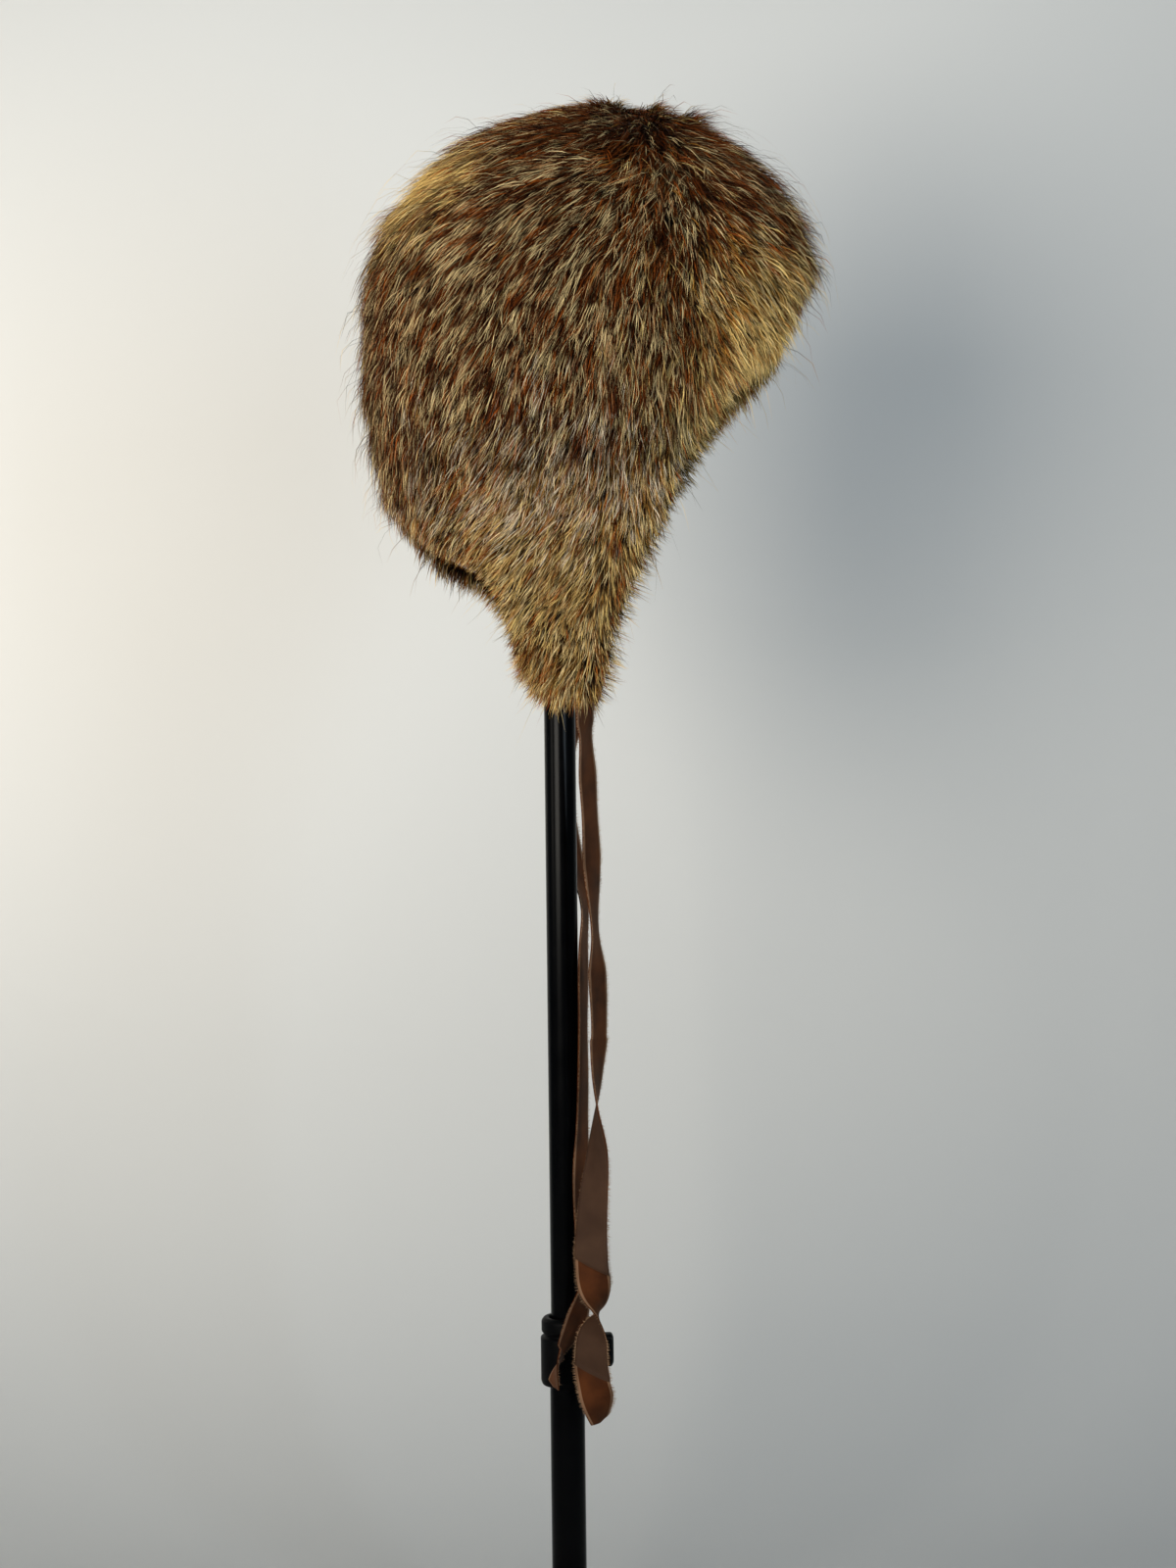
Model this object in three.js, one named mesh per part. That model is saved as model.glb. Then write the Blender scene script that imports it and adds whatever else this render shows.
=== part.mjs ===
// Fur ear-flap hat on a telescoping pole stand.
// Lengths are in millimetres and angles in degrees. +X is the hat's front, +Y the wearer's
// left and +Z up. The origin is the middle of the stand's foot.

import * as THREE from 'three';
import { mergeVertices } from 'three/addons/utils/BufferGeometryUtils.js';

// Hat form, measured on the skin side of the fur
const crownLevel = 745;
const crownRise = 109.5;
const crownFullness = 1.93;
const hatForward = 16;
const apexForward = 7;
const hatFrontReach = 114;
const hatHalfWidth = 88;
const flapDrop = 197;
const seamDrop = 83;

// Walls and seams
const liningThickness = 2;
const seamGap = 0.35;
const furClearance = 1.15;
const furBacking = 7;
const lockHeight = 9;
const fringeLength = 8.5;
const lockLean = 13;
const lockUneven = 0.25;
const lockRoom = 0.8;

// Where the fur panels meet, in degrees round the head from the front
const frontSeam = 56;
const backSeam = 150;
const flapFront = 64;
const flapBack = 130;

// Ties
const tieWidth = 18;
const tieThickness = 1.2;
const tieClearance = 1.1;
const tieSewn = 16;
const rightTieDrop = 396;
const leftTieDrop = 377;
const tieAngle = 91;

// Stand
const baseRadius = 130;
const baseThickness = 10;
const baseEdge = 3;
const socketWall = 6;
const socketHeight = 22;
const lowerPoleRadius = 9.5;
const lowerPoleWall = 0.6;
const poleClearance = 0.3;
const upperPoleWall = 0.8;
const poleOverlap = 60;
const collarTop = 198;
const collarHeight = 37;
const collarWall = 4.6;
const knobRadius = 9.5;
const knobRim = 1.2;
const knobLength = 7;
const knobStemRadius = 4;
const knobStemLength = 4;
const capRadius = 30;
const capFlatDrop = 21;
const capSocketDepth = 14;
const standGap = 0.3;
const restGap = 0.5;

// The hat's plan below its widest level. half, front and back are shares of the half width
// and the front reach, and drop is a share of the flaps' drop.
const sections = [
  { drop: 0.0, half: 1.0, front: 1.0, back: 0.965 },
  { drop: 0.23, half: 0.966, front: 0.98, back: 0.965 },
  { drop: 0.48, half: 0.886, front: 0.86, back: 0.87 },
  { drop: 0.74, half: 0.773, front: 0.78, back: 0.8 },
  { drop: 1.0, half: 0.64, front: 0.745, back: 0.75 },
  { drop: 1.2, half: 0.54, front: 0.72, back: 0.73 },
];

// The free edge, from the brow round the flap to the nape. side is degrees from the front,
// and drop is a share of the flaps' drop.
const freeEdge = [
  { side: 0, drop: -0.1 },
  { side: 12, drop: -0.07 },
  { side: 22, drop: -0.01 },
  { side: 30, drop: 0.09 },
  { side: 38, drop: 0.14 },
  { side: 49, drop: 0.2 },
  { side: 59, drop: 0.36 },
  { side: 68, drop: 0.54 },
  { side: 75, drop: 0.665 },
  { side: 81, drop: 0.8 },
  { side: 85, drop: 0.93 },
  { side: 89, drop: 1.02 },
  { side: 97, drop: 1.03 },
  { side: 105, drop: 1.02 },
  { side: 112, drop: 0.94 },
  { side: 117, drop: 0.81 },
  { side: 122, drop: 0.735 },
  { side: 130, drop: 0.685 },
  { side: 145, drop: 0.64 },
  { side: 160, drop: 0.565 },
  { side: 180, drop: 0.5 },
];

// How each tie hangs. fall is a share of the tie's drop, and hold says how much of the place
// where the tie is sewn is left at that point. ahead is a share of the tie's width, aside a
// share of its way out from the pole past the collar, and turn is in degrees.
const rightTieHang = [
  { fall: 0.0, hold: 1.0, ahead: 0.0, aside: 0.0, turn: 0 },
  { fall: 0.03, hold: 0.94, ahead: 0.02, aside: 0.0, turn: 40 },
  { fall: 0.06, hold: 0.9, ahead: 0.05, aside: 0.0, turn: 70 },
  { fall: 0.13, hold: 0.79, ahead: 0.2, aside: 0.0, turn: 61 },
  { fall: 0.2, hold: 0.64, ahead: 0.4, aside: -0.14, turn: 56 },
  { fall: 0.26, hold: 0.46, ahead: 0.58, aside: -0.32, turn: 67 },
  { fall: 0.34, hold: 0.26, ahead: 0.8, aside: -0.57, turn: 77 },
  { fall: 0.4, hold: 0.1, ahead: 0.98, aside: -0.82, turn: 58 },
  { fall: 0.47, hold: 0.0, ahead: 1.08, aside: -0.98, turn: 56 },
  { fall: 0.52, hold: 0.0, ahead: 1.02, aside: -1.0, turn: 72 },
  { fall: 0.58, hold: 0.0, ahead: 1.0, aside: -1.0, turn: 96 },
  { fall: 0.635, hold: 0.0, ahead: 1.0, aside: -1.05, turn: 124 },
  { fall: 0.69, hold: 0.0, ahead: 0.88, aside: -1.12, turn: 146 },
  { fall: 0.74, hold: 0.0, ahead: 0.8, aside: -1.22, turn: 155 },
  { fall: 0.775, hold: 0.0, ahead: 0.78, aside: -1.3, turn: 166 },
  { fall: 0.8, hold: 0.0, ahead: 0.82, aside: -1.34, turn: 172 },
  { fall: 0.825, hold: 0.0, ahead: 0.93, aside: -1.34, turn: 215 },
  { fall: 0.842, hold: 0.0, ahead: 1.0, aside: -1.34, turn: 250 },
  { fall: 0.86, hold: 0.0, ahead: 0.92, aside: -1.34, turn: 290 },
  { fall: 0.88, hold: 0.0, ahead: 0.8, aside: -1.34, turn: 328 },
  { fall: 0.918, hold: 0.0, ahead: 0.74, aside: -1.34, turn: 345 },
  { fall: 0.942, hold: 0.0, ahead: 0.8, aside: -1.32, turn: 350 },
  { fall: 0.962, hold: 0.0, ahead: 0.88, aside: -1.28, turn: 368 },
  { fall: 0.982, hold: 0.0, ahead: 0.95, aside: -1.24, turn: 402 },
  { fall: 1.0, hold: 0.0, ahead: 0.99, aside: -1.2, turn: 428 },
];
const leftTieHang = [
  { fall: 0.0, hold: 1.0, ahead: 0.0, aside: 0.0, turn: 0 },
  { fall: 0.035, hold: 0.93, ahead: -0.22, aside: 0.0, turn: 20 },
  { fall: 0.09, hold: 0.86, ahead: -0.52, aside: 0.0, turn: 50 },
  { fall: 0.15, hold: 0.78, ahead: -0.5, aside: 0.0, turn: 60 },
  { fall: 0.24, hold: 0.55, ahead: -0.08, aside: 0.0, turn: 64 },
  { fall: 0.32, hold: 0.26, ahead: 0.47, aside: 0.0, turn: 78 },
  { fall: 0.38, hold: 0.08, ahead: 0.58, aside: 0.0, turn: 78 },
  { fall: 0.46, hold: 0.0, ahead: 0.62, aside: -0.02, turn: 74 },
  { fall: 0.55, hold: 0.0, ahead: 0.6, aside: -0.1, turn: 76 },
  { fall: 0.64, hold: 0.0, ahead: 0.54, aside: -0.22, turn: 68 },
  { fall: 0.72, hold: 0.0, ahead: 0.5, aside: -0.42, turn: 62 },
  { fall: 0.8, hold: 0.0, ahead: 0.54, aside: -0.62, turn: 64 },
  { fall: 0.845, hold: 0.0, ahead: 0.6, aside: -0.74, turn: 80 },
  { fall: 0.875, hold: 0.0, ahead: 0.5, aside: -0.8, turn: 68 },
  { fall: 0.9, hold: 0.0, ahead: 0.36, aside: -0.86, turn: 50 },
  { fall: 0.925, hold: 0.0, ahead: 0.16, aside: -0.92, turn: 50 },
  { fall: 0.945, hold: 0.0, ahead: -0.06, aside: -0.97, turn: 64 },
  { fall: 0.96, hold: 0.0, ahead: -0.22, aside: -1.04, turn: 76 },
  { fall: 0.98, hold: 0.0, ahead: -0.34, aside: -1.08, turn: 98 },
  { fall: 1.0, hold: 0.0, ahead: -0.4, aside: -1.1, turn: 112 },
];

// Mesh fineness
const cellSize = 14;
const liningCell = 19;
const tieSections = 76;
const roundSides = 24;
const baseSides = 40;
const knobSides = 14;
const capRings = 7;
const crownColumns = 44;
const crownRows = 13;
const narrowestSeamCell = 0.02;
const narrowestLockCell = 0.2;
const seamTolerance = 0.03;

const fullRound = 360;
const halfRound = fullRound / 2;
const degree = Math.PI / halfRound;
const quarterTurn = Math.PI / 2;

// Reads a table's column at any place along its key, on a smooth curve through the rows.
function readTable(rows, key, column, at) {
  const last = rows.length - 1;
  let low = 0;
  while (low < last - 1 && rows[low + 1][key] < at) {
    low += 1;
  }
  const slope = (row) => {
    const before = rows[Math.max(row - 1, 0)];
    const after = rows[Math.min(row + 1, last)];
    return (after[column] - before[column]) / (after[key] - before[key]);
  };
  const span = rows[low + 1][key] - rows[low][key];
  const share = THREE.MathUtils.clamp((at - rows[low][key]) / span, 0, 1);
  const rise = rows[low + 1][column] - rows[low][column];
  const lift = share * share * (3 - 2 * share) * rise;
  const lead = share * (1 - share) ** 2 * slope(low) * span;
  const trail = share * share * (share - 1) * slope(low + 1) * span;
  return rows[low][column] + lift + lead + trail;
}

// A level of 0 is the hat's widest height and 1 its apex, with negative levels below. One
// level is the same length along the skin everywhere.
const levelLength = crownRise * quarterTurn;

function levelAt(height) {
  const rise = (height - crownLevel) / crownRise;
  if (rise <= 0) {
    return (height - crownLevel) / levelLength;
  }
  return Math.asin(Math.min(rise, 1) ** (crownFullness / 2)) / quarterTurn;
}

// A point on the skin side of the fur, at an angle round the head and a level.
function skinPoint(side, level) {
  const swing = THREE.MathUtils.clamp(level, 0, 1) * quarterTurn;
  const spread = Math.max(Math.cos(swing), 0) ** (2 / crownFullness);
  const rise = Math.sin(swing) ** (2 / crownFullness);
  const drop = (-Math.min(level, 0) * levelLength) / flapDrop;
  const half = readTable(sections, 'drop', 'half', drop) * hatHalfWidth;
  const front = readTable(sections, 'drop', 'front', drop) * hatFrontReach;
  const back = readTable(sections, 'drop', 'back', drop) * hatFrontReach;
  const ahead = Math.cos(side * degree);
  const reach = (front + back) / 2 + ((front - back) / 2) * ahead;
  const centre = hatForward + apexForward * rise * rise * (3 - 2 * rise);
  const height = crownLevel + crownRise * rise - drop * flapDrop;
  return new THREE.Vector3(
    centre + reach * spread * ahead,
    half * spread * Math.sin(side * degree),
    height,
  );
}

// The same point moved outwards from the skin.
function offsetPoint(side, level, depth) {
  const point = skinPoint(side, level);
  if (level > 0.999) {
    return point.add(new THREE.Vector3(0, 0, depth));
  }
  const step = 0.02;
  const round = skinPoint(side + step, level).sub(skinPoint(side - step, level));
  const climb = skinPoint(side, level + step / 10).sub(skinPoint(side, level - step / 10));
  return point.add(round.cross(climb).normalize().multiplyScalar(depth));
}

function roundLength(side, level) {
  return skinPoint(side + 0.5, level).distanceTo(skinPoint(side - 0.5, level));
}

function edgeLevel(side) {
  const drop = readTable(freeEdge, 'side', 'drop', Math.abs(side));
  return levelAt(crownLevel - drop * flapDrop);
}

const seamLevel = levelAt(crownLevel - seamDrop);
const halfGapLevel = seamGap / 2 / levelLength;
const aboveSeam = (side) => Math.max(edgeLevel(side), seamLevel + halfGapLevel);
const belowSeam = () => seamLevel - halfGapLevel;

// A patch of the skin as a grid of places, columns round the head and rows up it. Its two
// side edges are drawn in by half a seam's gap, unless it closes round the head.
function patchOf({ from, to, bottom, top, columns, rows, closed }) {
  const grid = [];
  for (let column = 0; column <= columns; column += 1) {
    const side = from + ((to - from) * column) / columns;
    const inwards = closed ? 0 : (column === 0 ? 1 : 0) - (column === columns ? 1 : 0);
    const line = [];
    for (let row = 0; row <= rows; row += 1) {
      const level = bottom(side) + ((top(side) - bottom(side)) * row) / rows;
      const drawn = inwards * (seamGap / 2 / Math.max(roundLength(side, level), narrowestSeamCell));
      line.push({ side: side + drawn, level });
    }
    grid.push(line);
  }
  return { grid, columns, rows, closed, from, to, bottom, top };
}

// One closed body from loose triangles, with shared vertices and no slivers.
function bodyOf(points, triangles) {
  const geometry = new THREE.BufferGeometry();
  geometry.setAttribute('position', new THREE.Float32BufferAttribute(points.flat(), 3));
  geometry.setIndex(triangles.flat());
  const merged = mergeVertices(geometry, 1e-3);
  const index = merged.getIndex().array;
  const kept = [];
  for (let i = 0; i < index.length; i += 3) {
    const [a, b, c] = [index[i], index[i + 1], index[i + 2]];
    if (a !== b && b !== c && c !== a) {
      kept.push(a, b, c);
    }
  }
  merged.setIndex(kept);
  merged.computeVertexNormals();
  return merged;
}

// A number from 0 to 1 that looks random and is the same each time.
function scatter(seed) {
  const value = Math.sin(seed * 12.9898 + 4.1414) * 43758.5453;
  return value - Math.floor(value);
}

// A wall over a patch, between two depths. outerCell and edgeCell say what a cell of the
// outer side and of the lower edge is made of: two triangles, or a lock of fur.
function wallOver(patch, innerDepth, outerDepth, outerCell, edgeCell) {
  const points = [];
  const triangles = [];
  const place = (side, level, depth) => {
    points.push(offsetPoint(side, level, depth).toArray());
    return points.length - 1;
  };
  const layer = (depth) => patch.grid.map((line) => line.map((at) => place(at.side, at.level, depth)));
  const inner = layer(innerDepth);
  const outer = layer(outerDepth);
  const quad = (a, b, c, d) => triangles.push([a, b, c], [a, c, d]);
  const { columns, rows } = patch;
  for (let i = 0; i < columns; i += 1) {
    for (let j = 0; j < rows; j += 1) {
      const corners = [outer[i][j], outer[i + 1][j], outer[i + 1][j + 1], outer[i][j + 1]];
      const tip = outerCell ? outerCell(patch, i, j) : null;
      if (tip) {
        const at = place(tip.side, tip.level, tip.depth);
        corners.forEach((corner, k) => triangles.push([corner, corners[(k + 1) % 4], at]));
      } else {
        quad(...corners);
      }
      quad(inner[i][j], inner[i][j + 1], inner[i + 1][j + 1], inner[i + 1][j]);
    }
    const edge = [inner[i][0], inner[i + 1][0], outer[i + 1][0], outer[i][0]];
    const hanging = edgeCell ? edgeCell(patch, i) : null;
    if (hanging) {
      const at = place(hanging.side, hanging.level, hanging.depth);
      edge.forEach((corner, k) => triangles.push([corner, edge[(k + 1) % 4], at]));
    } else {
      quad(...edge);
    }
    quad(outer[i][rows], outer[i + 1][rows], inner[i + 1][rows], inner[i][rows]);
  }
  if (!patch.closed) {
    for (let j = 0; j < rows; j += 1) {
      quad(inner[0][j], outer[0][j], outer[0][j + 1], inner[0][j + 1]);
      quad(outer[columns][j], inner[columns][j], inner[columns][j + 1], outer[columns][j + 1]);
    }
  }
  return bodyOf(points, triangles);
}

const furInner = furClearance;
const furOuter = furClearance + furBacking;

// A lock of fur on one cell. Its tip leans the way the fur is combed, down and towards the
// back, and stays over its own panel.
function lockOn(comb) {
  return (patch, i, j) => {
    const cell = [patch.grid[i][j], patch.grid[i + 1][j + 1]];
    const side = (cell[0].side + cell[1].side) / 2;
    const level = (cell[0].level + cell[1].level) / 2;
    const chance = scatter(i * 31.7 + j * 7.3 + patch.from);
    const sway = scatter(i * 5.1 + j * 17.9 + patch.to) - 0.5;
    const low = patch.bottom(side);
    const down = Math.min((comb.down * lockLean) / levelLength, lockRoom * (level - low));
    const outward = Math.sign(side) || 1;
    const round = (outward * comb.back + 0.5 * sway) * lockLean;
    const border = round > 0 ? Math.max(patch.from, patch.to) : Math.min(patch.from, patch.to);
    const turn = round / Math.max(roundLength(side, level), narrowestLockCell);
    const room = lockRoom * Math.abs(border - side);
    return {
      side: side + Math.sign(turn) * Math.min(Math.abs(turn), room),
      level: level - down,
      depth: furOuter + lockHeight * (1 + lockUneven * (2 * chance - 1)),
    };
  };
}

// A lock that hangs from the free edge, square to it. Cells on a seam have none.
function fringeOn(patch, i) {
  const left = patch.grid[i][0];
  const right = patch.grid[i + 1][0];
  const side = (left.side + right.side) / 2;
  const level = (left.level + right.level) / 2;
  const onSeam = (corner) => corner.level > edgeLevel(wrapped(corner.side)) + seamTolerance;
  if (onSeam(left) || onSeam(right)) {
    return null;
  }
  const unit = roundLength(side, level);
  const roundStep = (right.side - left.side) * unit;
  const climbStep = (right.level - left.level) * levelLength;
  const along = new THREE.Vector2(roundStep, climbStep).normalize();
  const reach = fringeLength * (1 + lockUneven * (scatter(i * 3.7 + patch.from) - 0.5));
  return {
    side: side + (along.y * reach) / unit,
    level: level - (along.x * reach) / levelLength,
    depth: (furInner + furOuter) / 2,
  };
}

function countFor(length, size) {
  return Math.max(Math.round(length / size), 2);
}

function patchFor(span, size) {
  const middle = (span.from + span.to) / 2;
  const tall = Math.max(...[0, 0.25, 0.5, 0.75, 1].map((share) => {
    const side = THREE.MathUtils.lerp(span.from, span.to, share);
    return (span.top(side) - span.bottom(side)) * levelLength;
  }));
  const wide = (span.to - span.from) * roundLength(middle, Math.min(span.bottom(middle), 0));
  return patchOf({ ...span, columns: countFor(wide, size), rows: countFor(tall, size) });
}

// The panels stop just short of the apex, where their tips meet.
const apexOpening = 3;
const panelTop = () => 1 - apexOpening / levelLength;

// How the fur is combed on each panel, as shares of the lean of a lock
const combs = {
  front: { down: 0.95, back: -0.2 },
  side: { down: 0.85, back: 0.45 },
  back: { down: 1.0, back: 0.1 },
  flap: { down: 0.8, back: 0.5 },
  nape: { down: 0.9, back: 0.2 },
};

// Angles past half a turn are read as the same place on the wearer's right.
function wrapped(side) {
  return side > halfRound ? side - fullRound : side;
}

const backAboveSeam = (side) => aboveSeam(wrapped(side));
const napeEdge = (side) => edgeLevel(wrapped(side));

const panels = {
  front: { from: -frontSeam, to: frontSeam, bottom: aboveSeam, top: panelTop },
  rightSide: { from: -backSeam, to: -frontSeam, bottom: aboveSeam, top: panelTop },
  leftSide: { from: frontSeam, to: backSeam, bottom: aboveSeam, top: panelTop },
  back: { from: backSeam, to: fullRound - backSeam, bottom: backAboveSeam, top: panelTop },
  rightFlap: { from: -flapBack, to: -flapFront, bottom: edgeLevel, top: belowSeam },
  leftFlap: { from: flapFront, to: flapBack, bottom: edgeLevel, top: belowSeam },
  nape: { from: flapBack, to: fullRound - flapBack, bottom: napeEdge, top: belowSeam },
};

function furPanel(span, comb) {
  return wallOver(patchFor(span, cellSize), furInner, furOuter, lockOn(comb), fringeOn);
}

function liningPanel(span) {
  return wallOver(patchFor(span, liningCell), -liningThickness, 0);
}

function crownLining() {
  const span = { from: -halfRound, to: halfRound, bottom: aboveSeam, top: () => 1, closed: true };
  const patch = patchOf({ ...span, columns: crownColumns, rows: crownRows });
  return wallOver(patch, -liningThickness, 0);
}

function finish(color, roughness, metalness = 0) {
  return new THREE.MeshStandardMaterial({ color, roughness, metalness });
}

const furMaterials = {
  front: finish(0x7a5636, 0.9),
  side: finish(0x6f4a35, 0.9),
  back: finish(0x8a6a3c, 0.9),
  flap: finish(0x8f7342, 0.9),
  nape: finish(0x6a4a30, 0.9),
};
const liningMaterial = finish(0x6d5a5c, 0.85);
const tieMaterial = finish(0x4a2c20, 0.7);
const poleMaterial = finish(0x121214, 0.35, 0.4);
const clampMaterial = finish(0x17171a, 0.5);

function named(name, geometry, material) {
  const mesh = new THREE.Mesh(geometry, material);
  mesh.name = name;
  return mesh;
}

// The ties

const lowerPoleBore = lowerPoleRadius - lowerPoleWall;
const upperPoleRadius = lowerPoleBore - poleClearance;
const collarRadius = lowerPoleRadius + poleClearance + collarWall;
const tieReach = collarRadius + tieWidth / 2 + tieThickness;
const tieDepth = -(liningThickness + tieClearance + tieThickness / 2);

// A ribbon as a flat bar with one section for each step. It starts sewn inside the flap's
// tip, lies on the lining as far as the edge, and hangs and twists from there.
function tieStrip(wearerSide, hang, tieDrop) {
  const edge = edgeLevel(tieAngle);
  const sewnAt = offsetPoint(wearerSide * tieAngle, edge + tieSewn / levelLength, tieDepth);
  const edgeAt = offsetPoint(wearerSide * tieAngle, edge, tieDepth);
  const points = [];
  const triangles = [];
  const sectionAt = (centre, turn) => {
    const across = new THREE.Vector3(Math.cos(turn * degree), Math.sin(turn * degree), 0);
    const through = new THREE.Vector3(-across.y, across.x, 0);
    [[-1, -1], [1, -1], [1, 1], [-1, 1]].forEach(([wide, thick]) => {
      const corner = centre.clone();
      corner.addScaledVector(across, (wide * tieWidth) / 2);
      corner.addScaledVector(through, (thick * tieThickness) / 2);
      points.push(corner.toArray());
    });
  };
  sectionAt(sewnAt, 0);
  for (let step = 0; step <= tieSections; step += 1) {
    const fall = step / tieSections;
    const read = (column) => readTable(hang, 'fall', column, fall);
    const centre = new THREE.Vector3(
      edgeAt.x * read('hold') + read('ahead') * tieWidth,
      edgeAt.y * read('hold') + read('aside') * tieReach,
      edgeAt.z - fall * tieDrop,
    );
    sectionAt(centre, step === 0 ? 0 : read('turn'));
  }
  // The two broad faces are cut along the same diagonal, so they stay parallel in a twist.
  const end = points.length - 4;
  const backFace = 2;
  for (let first = 0; first < end; first += 4) {
    for (let k = 0; k < 4; k += 1) {
      const [a, b] = [first + k, first + ((k + 1) % 4)];
      if (k === backFace) {
        triangles.push([a, a + 4, b], [a + 4, b + 4, b]);
      } else {
        triangles.push([a, a + 4, b + 4], [a, b + 4, b]);
      }
    }
  }
  triangles.push([0, 1, 2], [0, 2, 3], [end, end + 2, end + 1], [end, end + 3, end + 2]);
  return bodyOf(points, triangles);
}

// The stand

function turned(profile, sides) {
  const outline = profile.map(([radius, height]) => new THREE.Vector2(radius, height));
  const geometry = new THREE.LatheGeometry(outline, sides);
  geometry.rotateX(quarterTurn);
  geometry.deleteAttribute('normal');
  geometry.deleteAttribute('uv');
  const index = geometry.getIndex().array;
  const points = geometry.getAttribute('position').array;
  const list = [];
  for (let i = 0; i < points.length; i += 3) {
    list.push([points[i], points[i + 1], points[i + 2]]);
  }
  const triangles = [];
  for (let i = 0; i < index.length; i += 3) {
    triangles.push([index[i], index[i + 1], index[i + 2]]);
  }
  return bodyOf(list, triangles);
}

function tubeProfile(outer, inner, low, high) {
  return [[outer, low], [outer, high], [inner, high], [inner, low], [outer, low]];
}

function basePlate() {
  return turned([
    [0, 0],
    [baseRadius - baseEdge, 0],
    [baseRadius, baseEdge],
    [baseRadius, baseThickness - baseEdge],
    [baseRadius - baseEdge, baseThickness],
    [0, baseThickness],
  ], baseSides);
}

// The rounded cap under the crown is raised until it all but touches the lining.
function capMiddle() {
  const clear = capRadius + restGap;
  const nearest = (height) => {
    const middle = new THREE.Vector3(0, 0, height);
    let least = Infinity;
    for (let level = 0.4; level <= 1; level += 0.02) {
      for (let side = 0; side < 360; side += 5) {
        least = Math.min(least, offsetPoint(side, level, -liningThickness).distanceTo(middle));
      }
    }
    return least;
  };
  let [low, high] = [crownLevel - capRadius, crownLevel + crownRise];
  for (let pass = 0; pass < 24; pass += 1) {
    const middle = (low + high) / 2;
    if (nearest(middle) > clear) {
      low = middle;
    } else {
      high = middle;
    }
  }
  return low;
}

const capHeight = capMiddle();

// A ball with a flat underside and a socket for the pole's end. Its middle is at height 0.
function standCap() {
  const socket = upperPoleRadius + standGap;
  const lowest = -Math.asin(capFlatDrop / capRadius);
  const profile = [[socket, capSocketDepth - capFlatDrop], [socket, -capFlatDrop]];
  for (let ring = 0; ring < capRings; ring += 1) {
    const angle = THREE.MathUtils.lerp(lowest, quarterTurn, ring / capRings);
    profile.push([capRadius * Math.cos(angle), capRadius * Math.sin(angle)]);
  }
  profile.push([0, capRadius], [0, capSocketDepth - capFlatDrop]);
  profile.push([socket, capSocketDepth - capFlatDrop]);
  return turned(profile, roundSides);
}

// A short stem and a round grip, along +Z from the collar's side.
function clampKnob() {
  const grip = knobStemLength;
  const end = knobStemLength + knobLength;
  return turned([
    [0, 0],
    [knobStemRadius, 0],
    [knobStemRadius, grip],
    [knobRadius - knobRim, grip],
    [knobRadius, grip + knobRim],
    [knobRadius, end - knobRim],
    [knobRadius - knobRim, end],
    [0, end],
  ], knobSides);
}

const hat = new THREE.Group();
hat.add(named('front_panel_fur', furPanel(panels.front, combs.front), furMaterials.front));
hat.add(named('right_side_fur', furPanel(panels.rightSide, combs.side), furMaterials.side));
hat.add(named('left_side_fur', furPanel(panels.leftSide, combs.side), furMaterials.side));
hat.add(named('back_panel_fur', furPanel(panels.back, combs.back), furMaterials.back));
hat.add(named('right_flap_fur', furPanel(panels.rightFlap, combs.flap), furMaterials.flap));
hat.add(named('left_flap_fur', furPanel(panels.leftFlap, combs.flap), furMaterials.flap));
hat.add(named('nape_flap_fur', furPanel(panels.nape, combs.nape), furMaterials.nape));
hat.add(named('crown_lining', crownLining(), liningMaterial));
hat.add(named('right_flap_lining', liningPanel(panels.rightFlap), liningMaterial));
hat.add(named('left_flap_lining', liningPanel(panels.leftFlap), liningMaterial));
hat.add(named('nape_flap_lining', liningPanel(panels.nape), liningMaterial));
hat.add(named('right_tie', tieStrip(-1, rightTieHang, rightTieDrop), tieMaterial));
hat.add(named('left_tie', tieStrip(1, leftTieHang, leftTieDrop), tieMaterial));

const stand = new THREE.Group();
const lowerPoleFoot = baseThickness + standGap;
const footSocketBore = lowerPoleRadius + standGap;
const collarFoot = collarTop - collarHeight;
const lowerPoleTop = collarTop - collarWall;
const upperPoleFoot = lowerPoleTop - poleOverlap;
const socketFloor = capHeight - capFlatDrop + capSocketDepth;
const upperPoleTop = socketFloor - standGap;
const upperBore = upperPoleRadius - upperPoleWall;
stand.add(named('stand_base', basePlate(), poleMaterial));
const footSocket = tubeProfile(
  footSocketBore + socketWall,
  footSocketBore,
  baseThickness + standGap,
  baseThickness + standGap + socketHeight,
);
stand.add(named('foot_socket', turned(footSocket, roundSides), poleMaterial));
const lowerTube = tubeProfile(lowerPoleRadius, lowerPoleBore, lowerPoleFoot, lowerPoleTop);
stand.add(named('lower_pole', turned(lowerTube, roundSides), poleMaterial));
const upperTube = tubeProfile(upperPoleRadius, upperBore, upperPoleFoot, upperPoleTop);
stand.add(named('upper_pole', turned(upperTube, roundSides), poleMaterial));
const cap = named('pole_cap', standCap(), poleMaterial);
cap.position.z = capHeight;
stand.add(cap);
const collarBore = lowerPoleRadius + poleClearance;
const collarTube = tubeProfile(collarRadius, collarBore, collarFoot, collarTop);
stand.add(named('clamp_collar', turned(collarTube, roundSides), clampMaterial));
const knob = named('clamp_knob', clampKnob(), clampMaterial);
knob.position.set(collarRadius + standGap, 0, collarFoot + collarHeight / 2);
knob.rotation.y = quarterTurn;
stand.add(knob);

const group = new THREE.Group();
group.add(hat);
group.add(stand);

export default group;
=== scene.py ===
import math
from itertools import product

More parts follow.
